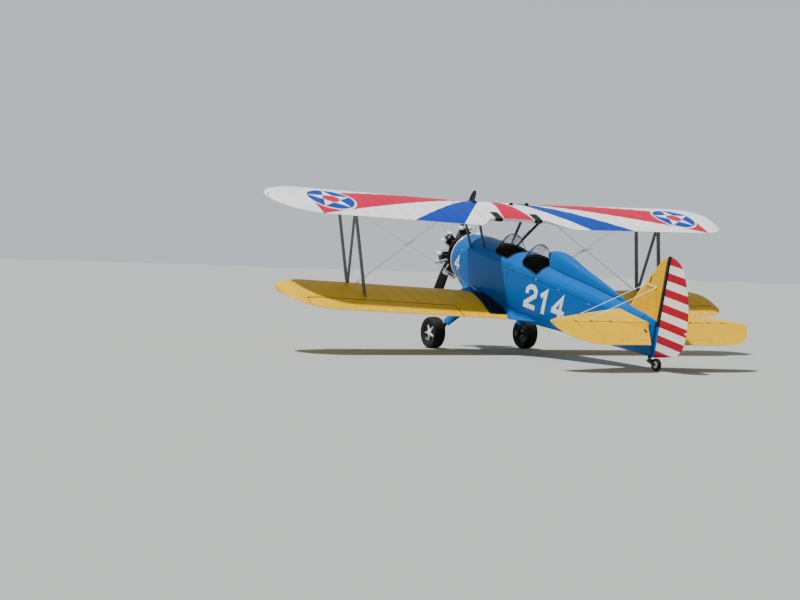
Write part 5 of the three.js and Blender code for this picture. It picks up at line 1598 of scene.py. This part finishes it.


def rudder_paint(tree, span, share):
    place = node(tree, "TexCoord", out="Object")
    height, run = (node(tree, "VectorMath", {0: place, 1: way}, "Value", operation="DOT_PRODUCT")
                   for way in (ABOVE, AFT))
    foot = START_Z + RUDDER["foot"] / 1000
    stripe = node(tree, "Math", {0: height, 1: 1 / STRIPE, 2: -foot / STRIPE}, operation="MULTIPLY_ADD")
    odd = node(tree, "Math", {0: stripe, 1: 2.0}, operation="FLOORED_MODULO")
    stripes = coats(tree, colour("#b8102f"), (odd, 1.0, WHITE))
    # Painted light: the band is dark blue above its foot height and the fuselage's lighter blue below, as if
    # sunlit
    band = coats(tree, colour("#0b1238"), (START_Z + BAND_LIT_FOOT, height, colour(BLUE_PAINT)))
    front = START_Y + (RUDDER["y"] - RUDDER["nose"]) / 1000 + BAND
    return coats(tree, stripes, (front, run, band))


rudder_fabric = doped_fabric("doped striped fabric", rudder_paint, RUDDER["bay"] / 1000, 0.0)
heights = steps(RUDDER["foot"], RUDDER["full"], 110)
heights += [RUDDER["full"] + (RUDDER["top"] - RUDDER["full"]) * sin(a) for a in steps(0.08, pi / 2, 16)]
rings = []
for z in heights:
    back = plan_at(RUDDER_EDGE, z)[1] - RUDDER["y"]
    section = moving_rib(back, RUDDER["nose"], 3, sagging(z, RUDDER["bay"], RUDDER["sag"]))
    rings.append([(z, RUDDER["y"] + y, x) for y, x in section])
mesh_piece("rudder_skin", mapped(loft(rings)), [rudder_fabric], ["rudder"], "rudder",
           sideways)


# Small tail fittings: sheet metal trim tabs in the elevators with their cable guides, black hinge plates,
# a black block behind the fin's leading edge as a slot's painted shade, a tail light, and the tube by which
# the tail is lifted.
TAB = dict(inner=400, outer=930, front=ELEVATOR["chord"] - 110, horn=890)
# y and half thickness
TAB_SIDES = ((TAB["front"], 9.5), (ELEVATOR["chord"] - 40, 7), (ELEVATOR["chord"] - 2, 4))
HORN = ((400, 0), (450, 0), (440, 62), (428, 62))
GUIDE = ((252, 160), (288, 160), (284, 232), (256, 232))
ELEVATOR_HINGES, RUDDER_HINGES = (818, 1191, 1489), (330, 700, 1080)
FIN_SLOT_SHADE = ((842, 6278), (842, 6302), (946, 6314), (946, 6292))
LIFT_TUBE = dict(at=(0, 4900, -452), body=[(-335, 11), (-330, 14), (330, 14), (335, 11)])
TAIL_LAMP = dict(at=(0, 7352, 250), body=[(-14, 15), (8, 15), (18, 12), (24, 4)])
tab_yellow = worn("yellow enamel on a sheet metal tab", "#dfae00", "#ecba00", 0.45, scale=5.0)  # smooth
lamp_glass = worn("frosted lamp glass", "#e8e8e2", "#ffffff", 0.2)  # milky white


def across_from(low, high, half):
    """The corners of an upright oblong from low to high, as deep as half on either side of zero."""
    return (low, -half), (high, -half), (high, half), (low, half)


for word, side in SIDES:
    inner, outer, horn = side * TAB["inner"], side * TAB["outer"], side * TAB["horn"]
    tab = loft([[(x, y, z) for x, z in across_from(inner, outer, half)] for y, half in TAB_SIDES])
    arm = block(HORN, horn - side * 2.5, horn + side * 2.5, 0)
    rod = sweep([(horn, 434, 56), (horn, 300, 6)], 3.5, 8)
    piece(f"elevator_tab_{word}", merge(tab, arm, rod), tab_yellow, (), "elevators", 40,
          in_elevator)
    guide = block([(side * x, y) for x, y in GUIDE], 4, 26, 2)
    seam = sweep([(inner, TAB["front"] - 2, 6), (outer, TAB["front"] - 2, 6)], 4.5, 8)
    piece(f"cable_guide_{word}", merge(guide, seam), knuckle_black, (), "elevators", 40,
          in_elevator)
    plates = []
    for x in ELEVATOR_HINGES:
        half = STABILISER["thick"] * plan_at(STABILISER_PLAN, x / span)[2] * 0.9 + 2.5
        plate = across_from(STABILISER["end"] - 42, STABILISER["end"] + 5, half)
        plates.append(block(plate, side * (x - 15), side * (x + 15), 0))
    piece(f"elevator_hinges_{word}", merge(*plates), knuckle_black, sharp=40,
          place=in_stabiliser)
# The slot: a black block through the fin, painted shade of the opening
piece("fin_slot_shade", block(FIN_SLOT_SHADE, -30, 30, 2), knuckle_black, sharp=40, place=sideways)
piece("lift_tube", turned_body(LIFT_TUBE["body"], LIFT_TUBE["at"], (1, 0, 0), 20), knuckle_black)
oblong = ((-9, FIN_END - 26), (9, FIN_END - 26), (9, FIN_END + 3), (-9, FIN_END + 3))
plates = [block(oblong, z - 16, z + 16, 2) for z in RUDDER_HINGES]
piece("rudder_hinges", merge(*plates), knuckle_black, sharp=40)
tail_lamp = turned_body(TAIL_LAMP["body"], TAIL_LAMP["at"], (0, 1, 0.05), 20)
piece("tail_lamp", tail_lamp, lamp_glass, body="rudder")


# Tail bracing: two flat steel wires above each half of the stabiliser, from a bar beside the fin,
# and a strut of streamlined tube below it, pinned to the fuselage's lower corner.
FIN_PINS = dict(x=34, z=800, ys=(6215, 6480))
TIP_PINS = dict(x=1180, ys=(6120, 6380), z=262, from_y=6000)
TAIL_SCREW = [(0, 8), (50, 8), (58, 6), (90, 5), (96, 3)]
FIN_BAR = ((36, 6205, 800), (36, 6490, 800))
BRACE = ((95, 6080, -250), (1100, 6200, 160))
BRACE_END = [(0, 20), (60, 16), (90, 12)]
for word, side in SIDES:
    lean = tan(STABILISER["incidence"])
    fin_top = [Vector((side * FIN_PINS["x"], y, FIN_PINS["z"])) for y in FIN_PINS["ys"]]
    tips = [Vector((side * TIP_PINS["x"], y, TIP_PINS["z"] - (y - TIP_PINS["from_y"]) * lean))
            for y in TIP_PINS["ys"]]
    parts = []
    for p, q in zip(fin_top, tips):
        parts.append(streamlined(p, q, 11, 5, sides=10))
        parts += [turned_body(TAIL_SCREW, s, t - s, 8) for s, t in ((p, q), (q, p))]
    parts.append(sweep([(side * x, y, z) for x, y, z in FIN_BAR], 7, 8))
    piece(f"tail_wire_rods_{word}", merge(*parts), wire_steel, [f"tail_wires_{word}"])
    low, high = (Vector((side * x, y, z)) for x, y, z in BRACE)
    parts = [streamlined(low, high, 52, 22, sides=24)]
    parts += [turned_body(BRACE_END, low.lerp(high, t), (high - low) * s, 10)
              for t, s in ((0.03, 1), (0.985, -1))]
    piece(f"tail_brace_{word}", merge(*parts), strut_grey, [f"tail_strut_{word}"])


# Tail wheel: a small cast wheel with a solid rubber tyre in a trailing forged fork, which turns under
# a vertical pin in the tail's end.
TAIL_WHEEL = dict(at=(0, 6765, -420), radius=105, width=62, rim=58)
SWIVEL_AT = (0, 6574, -362)
GROUND_ANGLE = radians(11.790893)  # how far the nose points up at rest
GROUND_UP = (0, -sin(GROUND_ANGLE), cos(GROUND_ANGLE))
FORK_ARM = [(6560, -410), (6590, -372), (6766, -398), (6786, -420), (6770, -441), (6604, -424)]
FORK_HALF, ARM_HALF = 45, 6
TAIL_DISC = [(11, 31), (28, 31), (34, 22), (52, 18), (58, 24), (59.5, 22), (58, -22), (52, -18), (34, -22),
             (28, -31), (11, -31), (11, 31)]
housing = turned_body([(0, 30), (3, 34), (70, 34)], SWIVEL_AT, GROUND_UP, 28)
piece("swivel_housing", housing, knuckle_black)
parts = [turned_body([(-46, 26), (-42, 30), (-8, 30), (-6, 27)], SWIVEL_AT, GROUND_UP),
         streamlined((-50, 6595, -393), (50, 6595, -393), 44, 24, sides=20),
         turned_body([(-57, 8), (-55, 10.2), (55, 10.2), (57, 8)], TAIL_WHEEL["at"], (1, 0, 0), 16),
         turned_body([(-20, 11), (44, 11)], SWIVEL_AT, GROUND_UP, 16)]
parts += [block(FORK_ARM, x - ARM_HALF, x + ARM_HALF, 0) for x in (FORK_HALF, -FORK_HALF)]
piece("tail_fork_forging", merge(*parts), knuckle_black, ["tail_wheel_fork"], "tail_fork")
tyre = tyre_body(TAIL_WHEEL["radius"], TAIL_WHEEL["width"], TAIL_WHEEL["rim"], TAIL_WHEEL["at"], (-9, 9), 64)
piece("tail_tyre_carcass", tyre, rubber, ["tail_tyre"], "tail_wheel", 40)
disc = wheel_disc(TAIL_DISC, TAIL_WHEEL["at"], 1, 48)
piece("tail_wheel_disc", disc, bright_alloy, ["tail_wheel"], "tail_wheel", 40)
tube_body = turned_body([(-91, 21), (91, 21)], (0, TAIL_Y, TAIL_Z), (1, 0, 0))
piece("elevator_torque_tube", tube_body, plated, ["elevator_tube"], "elevators")
